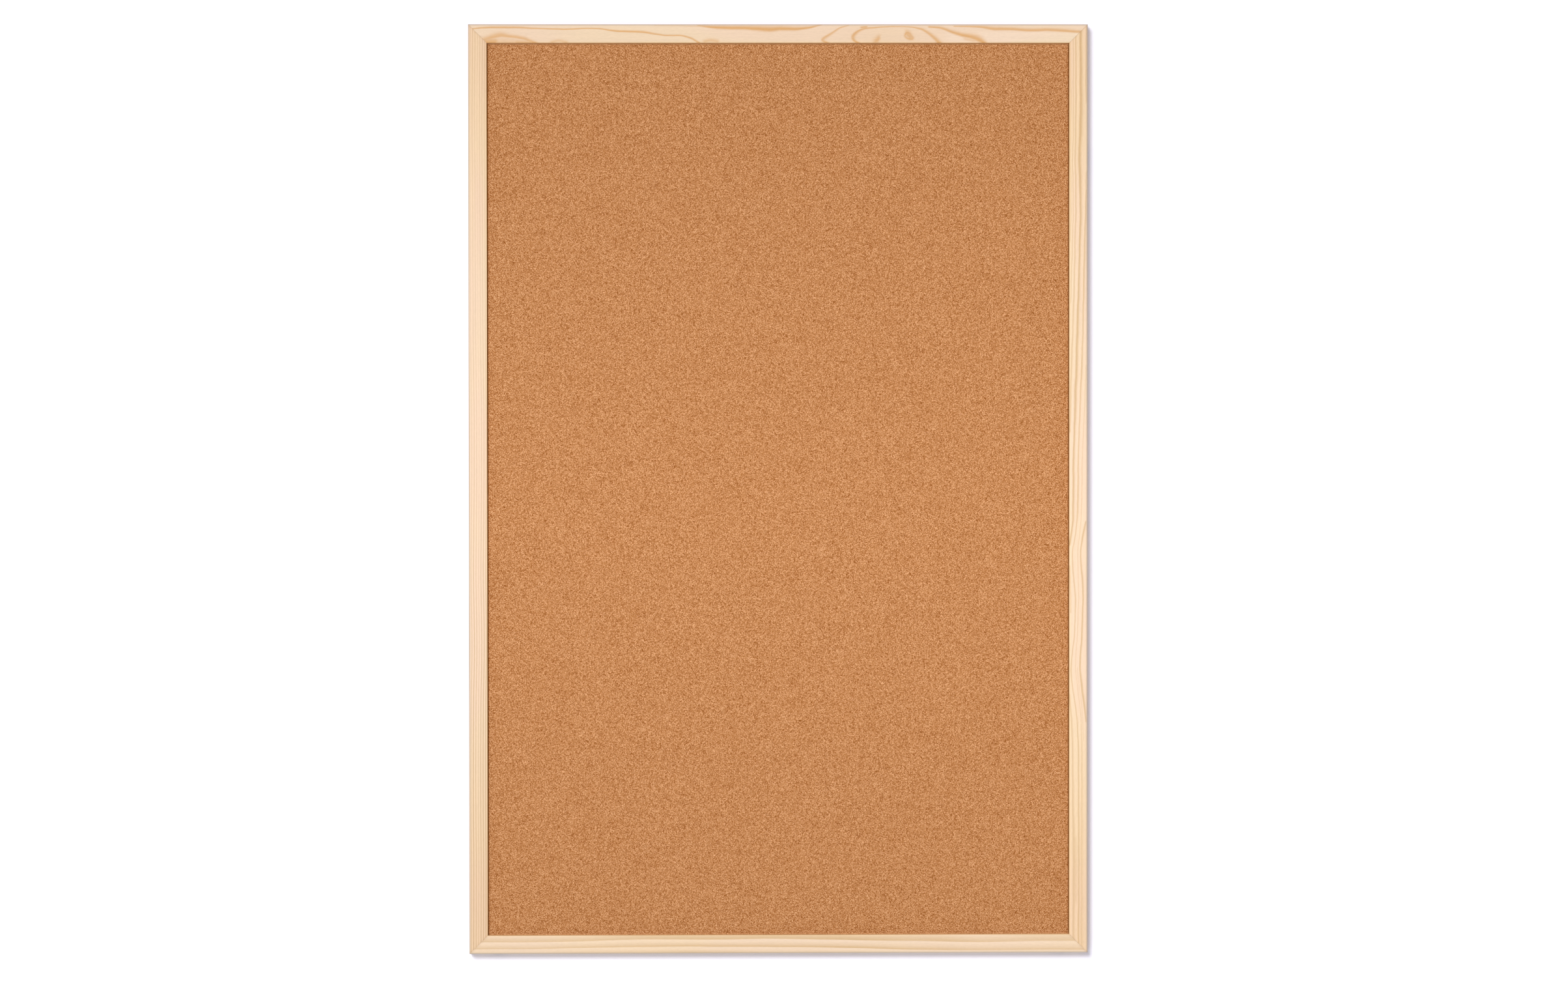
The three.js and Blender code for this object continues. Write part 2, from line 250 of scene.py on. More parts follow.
# %% Stage
WHITE = (1.0, 1.0, 1.0)
SURROUND = 0.466  # brightness of the even light
SURROUND_COLOUR = (0.965, 0.900, 1.0)
KEY_SHINE = 2.62
KEY_COLOUR = (0.985, 1.0, 1.0)
KEY_FROM = (-0.25, -1.0, 0.33)
BACK_SHINE = 2.05
BACK_FROM = (-0.6, 1.0, 0.5)
LAMP_WIDTH = 17  # degrees that a lamp spans, which sets how soft its shadow is
WALL_COLOUR = (0.805, 0.797, 0.875)
WALL_SIZE = 5.0
WALL_BEHIND = 0.5 * MM  # between the plane y = 0 and the wall that is drawn
FLOOR_COLOUR = (0.85, 0.87, 0.83)
FLOOR_SIZE = 80.0
FLOOR_HEIGHT = -1.7


def stage_plane(name, corners, material):
    mesh = bpy.data.meshes.new(name)
    mesh.from_pydata(corners, [], [(0, 1, 2, 3)])
    mesh.materials.append(material)
    plane = link(mesh, name)
    return plane


def sun(name, shine, colour, source):
    lamp = bpy.data.lights.new(name, "SUN")
    lamp.energy = shine
    lamp.color = colour
    lamp.angle = math.radians(LAMP_WIDTH)
    link(lamp, name).rotation_euler = Vector(source).to_track_quat("Z", "Y").to_euler()


print("stage: wall", WALL_SIZE, "m wide, floor at", FLOOR_HEIGHT, "m")

# %% Wall and floor
wall_paint = Finish("wall_paint", {"Base Color": WALL_COLOUR, "Roughness": 0.95})
clear = wall_paint.add("ShaderNodeBsdfTransparent")
behind = wall_paint.add("ShaderNodeNewGeometry", output="Backfacing")
shader = Wire(wall_paint, wall_paint.shader.outputs[0])
seen = wall_paint.add("ShaderNodeMixShader", {}, {0: behind, 1: shader, 2: clear})
wall_paint.feed(wall_paint.nodes["Material Output"].inputs["Surface"], seen)

half = WALL_SIZE / 2
wall_corners = [(-half, WALL_BEHIND, FLOOR_HEIGHT), (half, WALL_BEHIND, FLOOR_HEIGHT)]
wall_corners += [(half, WALL_BEHIND, half), (-half, WALL_BEHIND, half)]
wall = stage_plane("wall", wall_corners, wall_paint.material)
for ray in ("visible_diffuse", "visible_glossy", "visible_shadow"):
    setattr(wall, ray, False)

floor_paint = Finish("floor_paint", {"Base Color": FLOOR_COLOUR, "Roughness": 0.9})
far = FLOOR_SIZE / 2
floor_corners = [(-far, -far, FLOOR_HEIGHT), (far, -far, FLOOR_HEIGHT)]
floor_corners += [(far, far, FLOOR_HEIGHT), (-far, far, FLOOR_HEIGHT)]
stage_plane("floor", floor_corners, floor_paint.material)

print("wall and floor painted")

# %% Lamps and surrounding
sun("key_light", KEY_SHINE, KEY_COLOUR, KEY_FROM)
sun("back_light", BACK_SHINE, WHITE, BACK_FROM)

world = bpy.data.worlds.new("surround")
world.use_nodes = True
bpy.context.scene.world = world
glow = world.node_tree.nodes["Background"]
glow.inputs["Color"].default_value = (*SURROUND_COLOUR, 1)
glow.inputs["Strength"].default_value = SURROUND
backdrop = world.node_tree.nodes.new("ShaderNodeBackground")
backdrop.inputs["Strength"].default_value = 1.0
backdrop.inputs["Color"].default_value = (*WHITE, 1)
path = world.node_tree.nodes.new("ShaderNodeLightPath")
choice = world.node_tree.nodes.new("ShaderNodeMixShader")
sources = (path.outputs["Is Camera Ray"], glow.outputs[0], backdrop.outputs[0])
for socket, source in zip(choice.inputs, sources):
    world.node_tree.links.new(source, socket)
world.node_tree.links.new(choice.outputs[0], world.node_tree.nodes["World Output"].inputs["Surface"])
bpy.context.scene.view_settings.view_transform = "Standard"
print("lamps", KEY_SHINE, "and", BACK_SHINE, "strong, surrounding", SURROUND)

# %% [markdown]
# ## The moulding's section
#
# Each side of the frame is one length of planed pine: a face with a slight crown, a rounded outer edge, a
# smaller round on the inner edge, and a rebate behind the lip where the panel sits. The solid model draws
# the rounds with a few flats. Here the same section is drawn with many more points, because an edge that
# catches the light has to be smooth, and because the growth rings are painted point by point. The inner
# round is also made smaller than the solid's, as crisp as the photograph shows it.

# %% Section of the moulding
OUTER_ROUND = 2.2 * MM
INNER_ROUND = 0.8 * MM
FACE_CROWN = 0.3 * MM
BACK_CHAMFER = 0.5 * MM
MITRE_GAP = 0.06 * MM
HAIRLINE = 0.1 * MM
PANEL_CLEARANCE = 1.0 * MM
FACE_STEP = 0.36 * MM  # between the section's points across the face
LIP_BACK_STEP = 1.0 * MM
EDGE_STEP = 0.5 * MM
HIDDEN_STEP = 2.0 * MM
ARC_POINTS = 9

stile_low, stile_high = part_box("left_stile")
cork_low, cork_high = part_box("cork_sheet")
frame_back = stile_high.y
moulding_width = stile_high.x - stile_low.x
moulding_depth = stile_high.y - stile_low.y
rebate_depth = frame_back - (cork_low.y - HAIRLINE)
land_width = cork_low.x - PANEL_CLEARANCE - stile_low.x


def arc(centre, radius, start, end, points=ARC_POINTS):
    """Points on a part of a circle, with the angles in radians."""
    angles = np.linspace(start, end, points)
    return np.array(centre) + radius * np.column_stack([np.cos(angles), np.sin(angles)])


def straight(start, end, step=FACE_STEP):
    """Points from start up to, but not at, end."""
    count = max(1, round(math.dist(start, end) / step))
    shares = np.arange(count) / count
    return np.outer(1 - shares, start) + np.outer(shares, end)


def moulding_section():
    """The section's corners as (inward from the outer edge, forward from the back)."""
    middle = moulding_width / 2
    crown_radius = (middle**2 + FACE_CROWN**2) / (2 * FACE_CROWN)
    crown_centre = moulding_depth - crown_radius

    def round_height(radius):
        """How far forward the middle of an edge's round lies, so that it meets the crown smoothly."""
        return crown_centre + math.sqrt((crown_radius - radius) ** 2 - (middle - radius) ** 2)

    outer = (OUTER_ROUND, round_height(OUTER_ROUND))
    inner = (moulding_width - INNER_ROUND, round_height(INNER_ROUND))
    outer_angle = math.atan2(outer[1] - crown_centre, outer[0] - middle)
    inner_angle = math.atan2(inner[1] - crown_centre, inner[0] - middle)
    face_points = round((moulding_width - OUTER_ROUND - INNER_ROUND) / FACE_STEP)
    return np.vstack([
        straight((BACK_CHAMFER, 0), (land_width, 0), HIDDEN_STEP),
        straight((land_width, 0), (land_width, rebate_depth), HIDDEN_STEP),
        straight((land_width, rebate_depth), (moulding_width, rebate_depth), LIP_BACK_STEP),
        straight((moulding_width, rebate_depth), (moulding_width, inner[1])),
        arc(inner, INNER_ROUND, 0, inner_angle)[:-1],
        arc((middle, crown_centre), crown_radius, inner_angle, outer_angle, face_points),
        arc(outer, OUTER_ROUND, outer_angle, math.pi)[1:],
        straight((0, outer[1]), (0, BACK_CHAMFER), EDGE_STEP)[1:],
        [(0, BACK_CHAMFER)],
    ])


section = moulding_section()
print(len(section), "points round a section", round(moulding_width / MM, 1), "mm wide and",
      round(moulding_depth / MM, 1), "mm deep")

# %% [markdown]
# ## Growth rings
#
# Pine shows pale early wood and darker, narrower late wood. How the rings meet the face decides the
# figure: cut across the rings a board shows fine straight lines, cut along them it shows long arches.
# A noise texture alone looks like smoke, not wood. So the darkness of each point is worked out here from
# rings that have a real spacing, and stored on the mesh, where the material picks it up.
#
# The left stile and the bottom rail have plain rings. `ring_line` turns a ring count into darkness: it
# rises slowly through the year and stops sharply, as late wood does. The other two sides have lines that
# no formula gives, so those are drawn further down.

# %% Ring helpers
WAVE_SHARES = (1.0, 0.53, 0.29)  # the waves of a drift, each as a share of the longest


def drift(places, seed, wave, reach):
    """A slow wander, the sum of a few long waves."""
    rng = np.random.default_rng(seed)
    total = np.zeros_like(places)
    for share in WAVE_SHARES:
        turn = 2 * math.pi * (places / (wave * share) + rng.random())
        total = total + share * reach * np.sin(turn)
    return total


def ring_line(rings, sharpness, fall=0.2):
    """Darkness from a ring count: a slow rise, and a quick fall at the end of each year."""
    phase = rings % 1.0
    rise = (np.minimum(phase, 1 - fall) / (1 - fall)) ** sharpness
    return rise * np.clip((1 - phase) / fall, 0, 1)


YEARS = 200  # more than any side shows


def year_strength(rings, seed, least):
    """Each year's late wood has its own darkness."""
    strengths = least + (1 - least) * np.random.default_rng(seed).random(YEARS)
    return strengths[np.floor(rings).astype(int) % YEARS]


def bulge(along, centre, width):
    """1 at the centre, fading softly to 0 on both sides."""
    return np.exp(-(((along - centre) / width) ** 2))


CURVE_STEP = 2  # mm
CURVE_EASE = 15  # steps to either side over which a corner is eased


def smooth_curve(along, points):
    """A bend through a few places, without corners."""
    places, values = zip(*points)
    fine = np.arange(0, 1000 + CURVE_STEP, CURVE_STEP)
    curve = np.pad(np.interp(fine, places, values), CURVE_EASE, mode="edge")
    kernel = np.hanning(2 * CURVE_EASE + 1)
    return np.interp(along, fine, np.convolve(curve, kernel / kernel.sum(), "valid"))


print("darkness through a year:", ring_line(np.array([0.2, 0.5, 0.8, 0.95]), 1.5).round(2))

# %% Figure of the left stile
LEFT_PITCH = 2.37  # mm between the lines of the left stile
LEFT_FIRST_RING = 40.75  # its ring count at the outer edge of the face
LEFT_SLANT = 0.12  # how far its rings lean into the wood


def left_stile_figure(along, across, deep):
    """Fine straight lines, cut square across the rings: plain at the foot and the top, faint between."""
    wander = drift(along, 11, 760, 0.5) + drift(along, 12, 210, 0.08) - 0.9 * bulge(along, 300, 45)
    rings = LEFT_FIRST_RING + (across + wander + LEFT_SLANT * deep) / LEFT_PITCH
    low_down = np.clip((620 - along) / 400, 0, 1)
    high_up = np.clip((along - 780) / 80, 0, 1)
    contrast = 0.58 + 0.72 * low_down + 0.3 * high_up
    return np.minimum(1, contrast * ring_line(rings, 1.8, 0.3) * year_strength(rings, 13, 0.45))


print("left stile: a line every", LEFT_PITCH, "mm")

# %% Figure of the bottom rail
# Where the late wood of two years ends along the bottom rail, up from its outer edge in mm
UPPER_YEAR = [
    (0, 11.1), (60, 10.9), (80, 11.3), (100, 11.6), (120, 12.4), (140, 12.9), (160, 13.4), (180, 13.6),
    (220, 13.3), (250, 13.3), (270, 13.7), (300, 13.8), (320, 13.3), (360, 12.8), (380, 12.2), (420, 11.3),
    (450, 11.1), (470, 10.5), (490, 9.9), (510, 10.2), (530, 10.7), (550, 11.0), (600, 10.9),
]
LOWER_YEAR = [
    (0, 4.3), (60, 4.5), (80, 4.8), (100, 5.3), (140, 5.9), (160, 6.2), (180, 6.5), (210, 6.6), (230, 6.2),
    (270, 6.2), (300, 5.9), (340, 5.3), (380, 4.6), (400, 4.0), (410, 3.3), (430, 2.8), (450, 2.4),
    (500, 2.3), (550, 2.4), (600, 2.3),
]
BOTTOM_SLANT = 0.4
FINE_PITCH = 1.3  # mm between the faint lines within the bottom rail's bands


def bottom_rail_figure(along, across, deep):
    """A few wide soft bands in a long low arch."""
    upper = smooth_curve(along, UPPER_YEAR) + drift(along, 31, 130, 0.08)
    lower = smooth_curve(along, LOWER_YEAR) + drift(along, 32, 110, 0.08)
    level = across + BOTTOM_SLANT * deep
    rings = 30 + (upper - level) / (upper - lower)
    fine = 90 + (upper - level) / FINE_PITCH
    broad = np.where(level > upper, ring_line(rings, 0.9, 0.1), ring_line(rings, 2.0, 0.1))
    strength = 0.62 + 0.25 * bulge(along, 230, 90) + 0.3 * bulge(along, 370, 60)
    strength = strength + 0.15 * bulge(along, 460, 25)
    return strength * broad + 0.10 * ring_line(fine, 1.5) * year_strength(fine, 34, 0.2)


print("bottom rail: two bands drawn through", len(UPPER_YEAR), "and", len(LOWER_YEAR), "places")

# %% [markdown]
# The top rail is cut along the rings, so its lines run in long arches, with an eye near the middle and a
# flame by the left corner. On the right stile the lines swing inward past two knots that lie just off its
# edge. Each line is drawn one by one: a few points along it, in millimetres from the side's left or lower
# end and in from its outer edge, with the half width of the line there. A line is dark where the year
# ends, on its inner side, and fades outward.

# %% Lines of the top rail
# Each line: its strength, then its points as (along, inward, half width)
TOP_RAIL_LINES = [
    (0.95, [(3, 4.6, 0.4), (20, 3.2, 0.7), (36, 3.2, 0.8), (51, 3.5, 0.7), (70, 4.2, 0.45),
        (91, 5.1, 0.5), (114, 4.0, 0.45), (127, 4.4, 0.45), (145, 6.9, 0.7), (171, 7.8, 0.75),
        (190, 11.0, 0.5), (207, 11.0, 0.5), (216, 13.4, 0.6), (224, 18.5, 0.6)]),
    (0.80, [(12, 16.2, 1.3), (26, 12.0, 1.9), (32, 10.6, 1.9), (39, 11.8, 1.3), (47, 12.8, 1.2),
        (55, 14.2, 1.2), (66, 18.4, 0.9)]),
    (0.84, [(13, 17.6, 2.4), (20, 16.6, 2.6), (26, 16.8, 2.2)]),
    (0.40, [(27, 16.8, 2.2), (36, 16.2, 2.4), (46, 17.0, 2.0)]),
    (0.58, [(47, 17.3, 1.6), (60, 17.6, 1.6)]),
    (0.50, [(81, 17.2, 1.0), (88, 15.8, 1.0), (95, 17.4, 1.0)]),
    (0.55, [(229, 16.8, 1.2), (234, 15.4, 1.3), (241, 16.6, 1.2)]),
    (0.50, [(180, 1.3, 0.3), (205, 1.6, 0.35), (222, 1.9, 0.4)]),
    (1.00, [(222, 1.4, 0.5), (240, 3.3, 1.3), (269, 3.9, 1.4), (284, 4.8, 1.9), (292, 5.3, 2.0),
        (300, 4.6, 1.7), (318, 4.8, 1.3), (325, 4.0, 1.0), (331, 3.2, 0.8), (342, 0.4, 0.5)]),
    (0.80, [(368, 0.8, 0.4), (359, 3.2, 0.5), (355, 6.3, 0.7), (350, 9.5, 0.8), (344, 13.2, 1.1),
        (341.5, 15.3, 1.2), (344, 17.0, 0.9), (349, 18.4, 0.5)]),
    (0.93, [(412, 1.8, 0.35), (398, 2.5, 0.4), (384, 3.8, 0.6), (378.5, 5.7, 0.8), (373.8, 8.8, 1.2),
        (371.6, 11.3, 1.5), (371.9, 14.5, 1.1), (374.5, 17.0, 0.7), (379, 18.4, 0.4)]),
    (1.00, [(380.5, 3.3, 0.6), (385.5, 2.6, 0.6)]),
    (0.78, [(395.5, 15.8, 1.9), (397.5, 13.4, 1.7)]),
    (0.92, [(423, 11.8, 0.6), (422.6, 8.8, 0.6), (425, 7.3, 0.6), (427.6, 8.3, 0.6), (428.6, 11.3, 0.6),
        (431.6, 13.8, 0.7), (427.6, 14.5, 0.7), (424, 13.3, 0.6), (423, 11.8, 0.6)]),
    (0.82, [(424.7, 9.2, 2.0), (427.6, 12.8, 1.9)]),
    (0.88, [(408, 2.2, 0.35), (429, 2.6, 0.4), (438.6, 4.5, 0.7), (446, 9.1, 1.0), (451.8, 14.1, 1.3),
        (455.8, 18.4, 1.4)]),
    (0.95, [(446, 2.6, 0.6), (457.5, 3.6, 0.8), (468.8, 7.8, 1.2), (479, 10.9, 1.5), (489.5, 13.0, 2.0),
        (494.5, 15.2, 2.2), (500, 18.4, 1.2)]),
    (0.45, [(481, 14.2, 1.3), (490, 15.8, 1.6)]),
    (0.90, [(470, 1.8, 0.4), (491.5, 2.4, 0.7), (499, 3.1, 1.0), (508, 4.5, 1.3), (529, 5.0, 1.1),
        (539, 5.9, 1.1), (561, 5.6, 1.1), (575, 6.3, 1.2), (583, 6.8, 1.1), (597, 7.8, 0.9)]),
]
print(len(TOP_RAIL_LINES), "lines on the top rail")

# %% Lines of the right stile
RIGHT_STILE_LINES = [
    (0.85, [(396, 17.6, 0.6), (405, 16.3, 0.6), (412, 15.4, 0.6), (420, 14.5, 0.7), (440, 14.2, 0.8),
        (470, 14.1, 0.8), (490, 13.8, 0.7), (505, 13.1, 0.7), (525, 12.6, 0.9), (545, 12.2, 1.0),
        (560, 11.4, 1.0), (580, 10.9, 0.9), (600, 10.5, 0.9), (620, 9.9, 0.9), (640, 9.2, 0.8),
        (660, 8.6, 0.7), (680, 8.3, 0.7), (695, 7.8, 0.8), (710, 7.3, 0.8), (730, 7.2, 0.8),
        (745, 7.7, 1.0), (760, 8.1, 1.1), (770, 8.4, 1.1), (780, 8.3, 1.1), (790, 7.8, 1.1),
        (800, 7.3, 1.2), (820, 7.0, 1.1), (860, 7.1, 1.0), (900, 7.3, 0.9)]),
    (0.60, [(505, 17.4, 0.5), (540, 16.7, 0.6), (560, 16.3, 0.6), (580, 15.6, 0.6), (600, 14.8, 0.5),
        (615, 14.4, 0.6), (630, 13.9, 0.6), (650, 13.3, 0.5), (670, 12.9, 0.5), (690, 12.6, 0.5),
        (705, 12.2, 0.5), (720, 11.8, 0.5), (740, 11.8, 0.5), (755, 12.1, 0.5), (770, 12.4, 0.5),
        (785, 12.2, 0.5), (800, 11.9, 0.5), (830, 11.7, 0.5), (860, 11.8, 0.5), (900, 11.9, 0.5)]),
    (0.50, [(630, 16.7, 0.35), (650, 16.1, 0.35), (670, 15.6, 0.4), (690, 15.0, 0.4), (710, 14.4, 0.35),
        (735, 14.2, 0.35), (750, 14.5, 0.35), (765, 15.0, 0.35), (780, 14.6, 0.35), (800, 14.1, 0.35),
        (830, 14.2, 0.35), (860, 14.1, 0.35), (900, 14.2, 0.35)]),
    (0.38, [(690, 17.2, 0.4), (720, 16.5, 0.5), (745, 16.5, 0.4), (770, 17.3, 0.4), (800, 16.8, 0.4),
        (830, 16.5, 0.6), (860, 16.9, 0.4), (900, 17.0, 0.4)]),
    (0.66, [(0, 9.3, 0.6), (30, 9.1, 0.6), (60, 8.8, 0.6), (100, 8.8, 0.6), (150, 9.0, 0.5),
        (180, 9.0, 0.5), (200, 9.2, 0.5), (212, 9.8, 0.4), (222, 10.2, 0.4), (230, 10.9, 0.4),
        (240, 12.2, 0.4), (250, 13.5, 0.4), (260, 15.2, 0.4), (268, 16.1, 0.4), (275, 16.3, 0.5),
        (283, 15.8, 0.4), (295, 14.5, 0.4), (310, 13.0, 0.4), (325, 12.3, 0.4), (340, 12.1, 0.5),
        (350, 12.5, 0.5), (357, 13.1, 0.5), (367, 14.1, 0.5), (377, 14.9, 0.5), (385, 15.2, 0.45),
        (391, 14.8, 0.4), (396, 13.8, 0.4), (402, 12.6, 0.4), (411, 11.4, 0.4), (420, 10.7, 0.5),
        (430, 9.9, 0.7), (445, 9.7, 0.7), (470, 9.4, 0.6), (490, 9.2, 0.5), (500, 8.7, 0.5),
        (515, 8.1, 0.5), (530, 7.7, 0.5), (545, 7.0, 0.6), (560, 6.5, 0.7), (570, 6.0, 0.7),
        (580, 5.6, 0.6), (600, 4.9, 0.5), (620, 4.6, 0.6), (640, 4.2, 0.7), (660, 3.8, 0.7),
        (680, 3.4, 0.7), (700, 2.8, 0.6), (720, 2.2, 0.6), (740, 1.6, 0.5)]),
    (0.75, [(224, 1.8, 0.5), (232, 2.5, 0.6), (240, 3.5, 0.7), (250, 4.8, 0.8), (260, 6.1, 0.8),
        (268, 7.2, 0.7), (276, 7.8, 0.6), (285, 7.5, 0.6), (300, 6.4, 0.6), (320, 5.4, 0.6),
        (340, 4.8, 0.6), (355, 4.8, 0.7), (362, 5.2, 0.7), (367, 5.7, 0.7), (372, 6.3, 0.6),
        (378, 6.9, 0.6), (384, 7.2, 0.5), (390, 7.0, 0.5), (395, 6.4, 0.5), (400, 5.6, 0.6),
        (405, 4.9, 0.7), (410, 3.8, 0.7), (414, 3.0, 0.7), (418, 2.2, 0.6)]),
    (0.36, [(0, 6.3, 1.0), (35, 6.2, 1.0), (100, 6.0, 0.9), (180, 5.8, 0.8), (200, 5.9, 0.6),
        (212, 6.2, 0.45), (222, 6.5, 0.4), (231, 7.0, 0.4), (241, 8.0, 0.4), (250, 9.0, 0.4),
        (260, 10.3, 0.4), (270, 11.6, 0.4), (280, 12.0, 0.4), (295, 11.2, 0.4), (320, 9.6, 0.4),
        (345, 9.0, 0.4), (365, 9.2, 0.4), (378, 9.7, 0.4), (387, 9.9, 0.4), (395, 9.4, 0.4),
        (403, 8.4, 0.4), (411, 7.6, 0.4), (420, 6.8, 0.4), (440, 6.0, 0.5), (470, 5.6, 0.5),
        (490, 5.2, 0.4), (505, 4.4, 0.4), (525, 3.4, 0.4), (545, 2.6, 0.4), (570, 1.8, 0.4)]),
    (0.30, [(205, 4.2, 0.35), (220, 4.6, 0.35), (231, 5.2, 0.35), (241, 6.1, 0.35), (250, 7.2, 0.35),
        (260, 8.6, 0.35), (268, 9.7, 0.35), (276, 10.1, 0.35)]),
    (0.55, [(0, 14.1, 0.8), (30, 14.0, 0.8), (60, 13.8, 1.0), (90, 13.6, 1.2), (110, 13.8, 1.0),
        (130, 14.3, 0.8), (150, 14.5, 0.7), (180, 14.6, 0.6), (200, 14.8, 0.6), (215, 15.2, 0.6),
        (225, 15.8, 0.6), (235, 16.6, 0.5), (243, 17.4, 0.6), (250, 18.0, 0.7)]),
    (0.35, [(50, 12.4, 1.2), (80, 12.3, 1.4), (112, 12.6, 1.0)]),
    (0.42, [(330, 16.5, 0.5), (345, 16.8, 0.5), (360, 17.1, 0.6), (375, 17.5, 0.5)]),
    (0.55, [(825, 1.7, 0.4), (850, 1.9, 0.6), (875, 1.6, 0.6), (900, 1.5, 0.5)]),
    (0.45, [(738, 1.7, 0.4), (748, 1.9, 0.5), (758, 1.6, 0.4)]),
]
print(len(RIGHT_STILE_LINES), "lines on the right stile")

# %% Draw the lines
BEND_STEP = 1.0  # mm between the fine points of a drawn line
BEND_ROUNDS = 6  # times that its corners are eased
LINE_MARGIN = 6  # mm past its ends over which a line still counts
SOFT_SIDE = 1.8  # how much wider its soft side is than its sharp one
GROUND = 0.02  # darkness between the lines


def smooth_path(points):
    """The points of a line joined by smooth bends."""
    corners = np.array(points, float)
    runs = np.concatenate([[0], np.cumsum(np.hypot(*np.diff(corners[:, :2], axis=0).T))])
    fine = np.linspace(0, runs[-1], max(3, int(runs[-1] / BEND_STEP)))
    path = np.column_stack([np.interp(fine, runs, corners[:, k]) for k in range(3)])
    for _ in range(BEND_ROUNDS):
        path[1:-1] = (path[:-2] + 2 * path[1:-1] + path[2:]) / 4
    return path


def line_darkness(along, inward, strength, points):
    """Darkness of one drawn line: sharp on the side that ends the year, and soft on the other."""
    path = smooth_path(points)
    darkness = np.zeros_like(along)
    near = (along > path[:, 0].min() - LINE_MARGIN) & (along < path[:, 0].max() + LINE_MARGIN)
    here = np.column_stack([along[near], inward[near]])
    best = np.zeros(len(here))
    for start, end in zip(path[:-1], path[1:]):
        way = end[:2] - start[:2]
        share = np.clip(((here - start[:2]) @ way) / (way @ way), 0, 1)
        gap = here - start[:2] - share[:, None] * way
        inside = way[0] * gap[:, 1] - way[1] * gap[:, 0] > 0
        reach = (start[2] + share * (end[2] - start[2])) * np.where(inside, 1.0, SOFT_SIDE)
        best = np.maximum(best, np.exp(-((gap**2).sum(1) / reach**2)))
    darkness[near] = strength * best
    return darkness


EDGE_PITCH = 3.1  # mm between the quiet rings on the outer edge


def drawn_figure(along, across, deep, lines, slant):
    """The drawn lines on the face, and quiet straight rings on the edge beyond them."""
    inward = across - slant * deep + drift(along, 41, 37, 0.1)
    flat = along.ravel(), inward.ravel()
    total = np.full(along.size, GROUND)
    for strength, points in lines:
        total = np.maximum(total, line_darkness(*flat, strength, points))
    total = total.reshape(along.shape)
    rings = 20 + (inward + 0.012 * along + drift(along, 42, 500, 0.8)) / EDGE_PITCH
    edge = np.clip((-1.0 - inward) / 1.5, 0, 1)
    return total * (1 - edge) + 0.5 * ring_line(rings, 1.2) * edge


TOP_SLANT = 0.35
RIGHT_SLANT = 0.3


def top_rail_figure(along, across, deep):
    """The drawn lines on faintly shaded wood, which is palest past the last arch, on the inner side."""
    pale = np.clip((along - 455) / 14, 0, 1) * np.clip((across - 5.5) / 3, 0, 1)
    shade = 0.12 * (1 - pale) + 0.08 * bulge(along, 405, 50)
    return shade + (1 - shade) * drawn_figure(along, across, deep, TOP_RAIL_LINES, TOP_SLANT)


def right_stile_figure(along, across, deep):
    return drawn_figure(along, across, deep, RIGHT_STILE_LINES, RIGHT_SLANT)


print("the first line has", len(smooth_path(TOP_RAIL_LINES[0][1])), "fine points")

# %% [markdown]
# ## The four sides of the frame
#
# A mitred side is easy to loft: the same section stands at every station along it, and each point of the
# section starts and stops where its own distance from the outer edge meets the 45 degree cut. No boolean
# is needed for the mitres, and the ends come out flat. Along with its place, each point stores where it
# lies in the plank and the darkness of the rings. It also stores how close it is to a joint, and three
# masks of painted light and shade: grey shade on the outer arris, a warm highlight on the inner arris,
# and brown shade low on the lip's inner wall, in the corner by the cork.

# %% Mesh helpers
def face_outward(mesh):
    shape = bmesh.new()
    shape.from_mesh(mesh)
    bmesh.ops.recalc_face_normals(shape, faces=shape.faces)
    shape.to_mesh(mesh)
    shape.free()


def smooth(mesh, crease):
    """Rounds the shading, but not over edges sharper than the crease, in degrees."""
    for polygon in mesh.polygons:
        polygon.use_smooth = True
    mesh.set_sharp_from_angle(angle=math.radians(crease))


def store(mesh, name, values, kind="FLOAT"):
    """Keeps a number, or three, for each corner of the mesh."""
    layer = mesh.attributes.new(name, kind, "POINT")
    key = "vector" if kind == "FLOAT_VECTOR" else "value"
    layer.data.foreach_set(key, np.ravel(values).astype(np.float32))


def tube(name, places):
    """A closed mesh through rows of points, each row a closed loop, with a face on both ends."""
    rows, columns = places.shape[:2]
    index = np.arange(rows * columns).reshape(rows, columns)
    following = np.roll(index, -1, axis=1)
    band = np.stack([index[:-1], following[:-1], following[1:], index[1:]], -1).reshape(-1, 4)
    ends = [index[0].tolist(), index[-1].tolist()]
    mesh = bpy.data.meshes.new(name)
    mesh.from_pydata(places.reshape(-1, 3).tolist(), [], band.tolist() + ends)
    face_outward(mesh)
    return mesh


print("mesh helpers ready")

# %% Loft a mitred side
GAP_SHADE = 0.25 * MM  # how far from a mitre its dark line reaches
ARRIS_REACH = 1.3 * MM  # how far in from the outer edge its painted grey shade shows
ARRIS_DROP = 2.5 * MM  # and how far down the side
LIP_SHADE_REACH = 1.6 * MM  # how far up the lip's inner wall the painted brown shade shows
INNER_REACH = 1.0 * MM  # how far from the inner edge the painted warm highlight shows
INNER_DROP = 2.0 * MM  # how deep below the face that painted highlight is full
INNER_LEAST = 0.4  # how strong it is on the face itself
MITRE_SLOPE = math.sqrt(2)
FORWARD = (0, -1, 0)


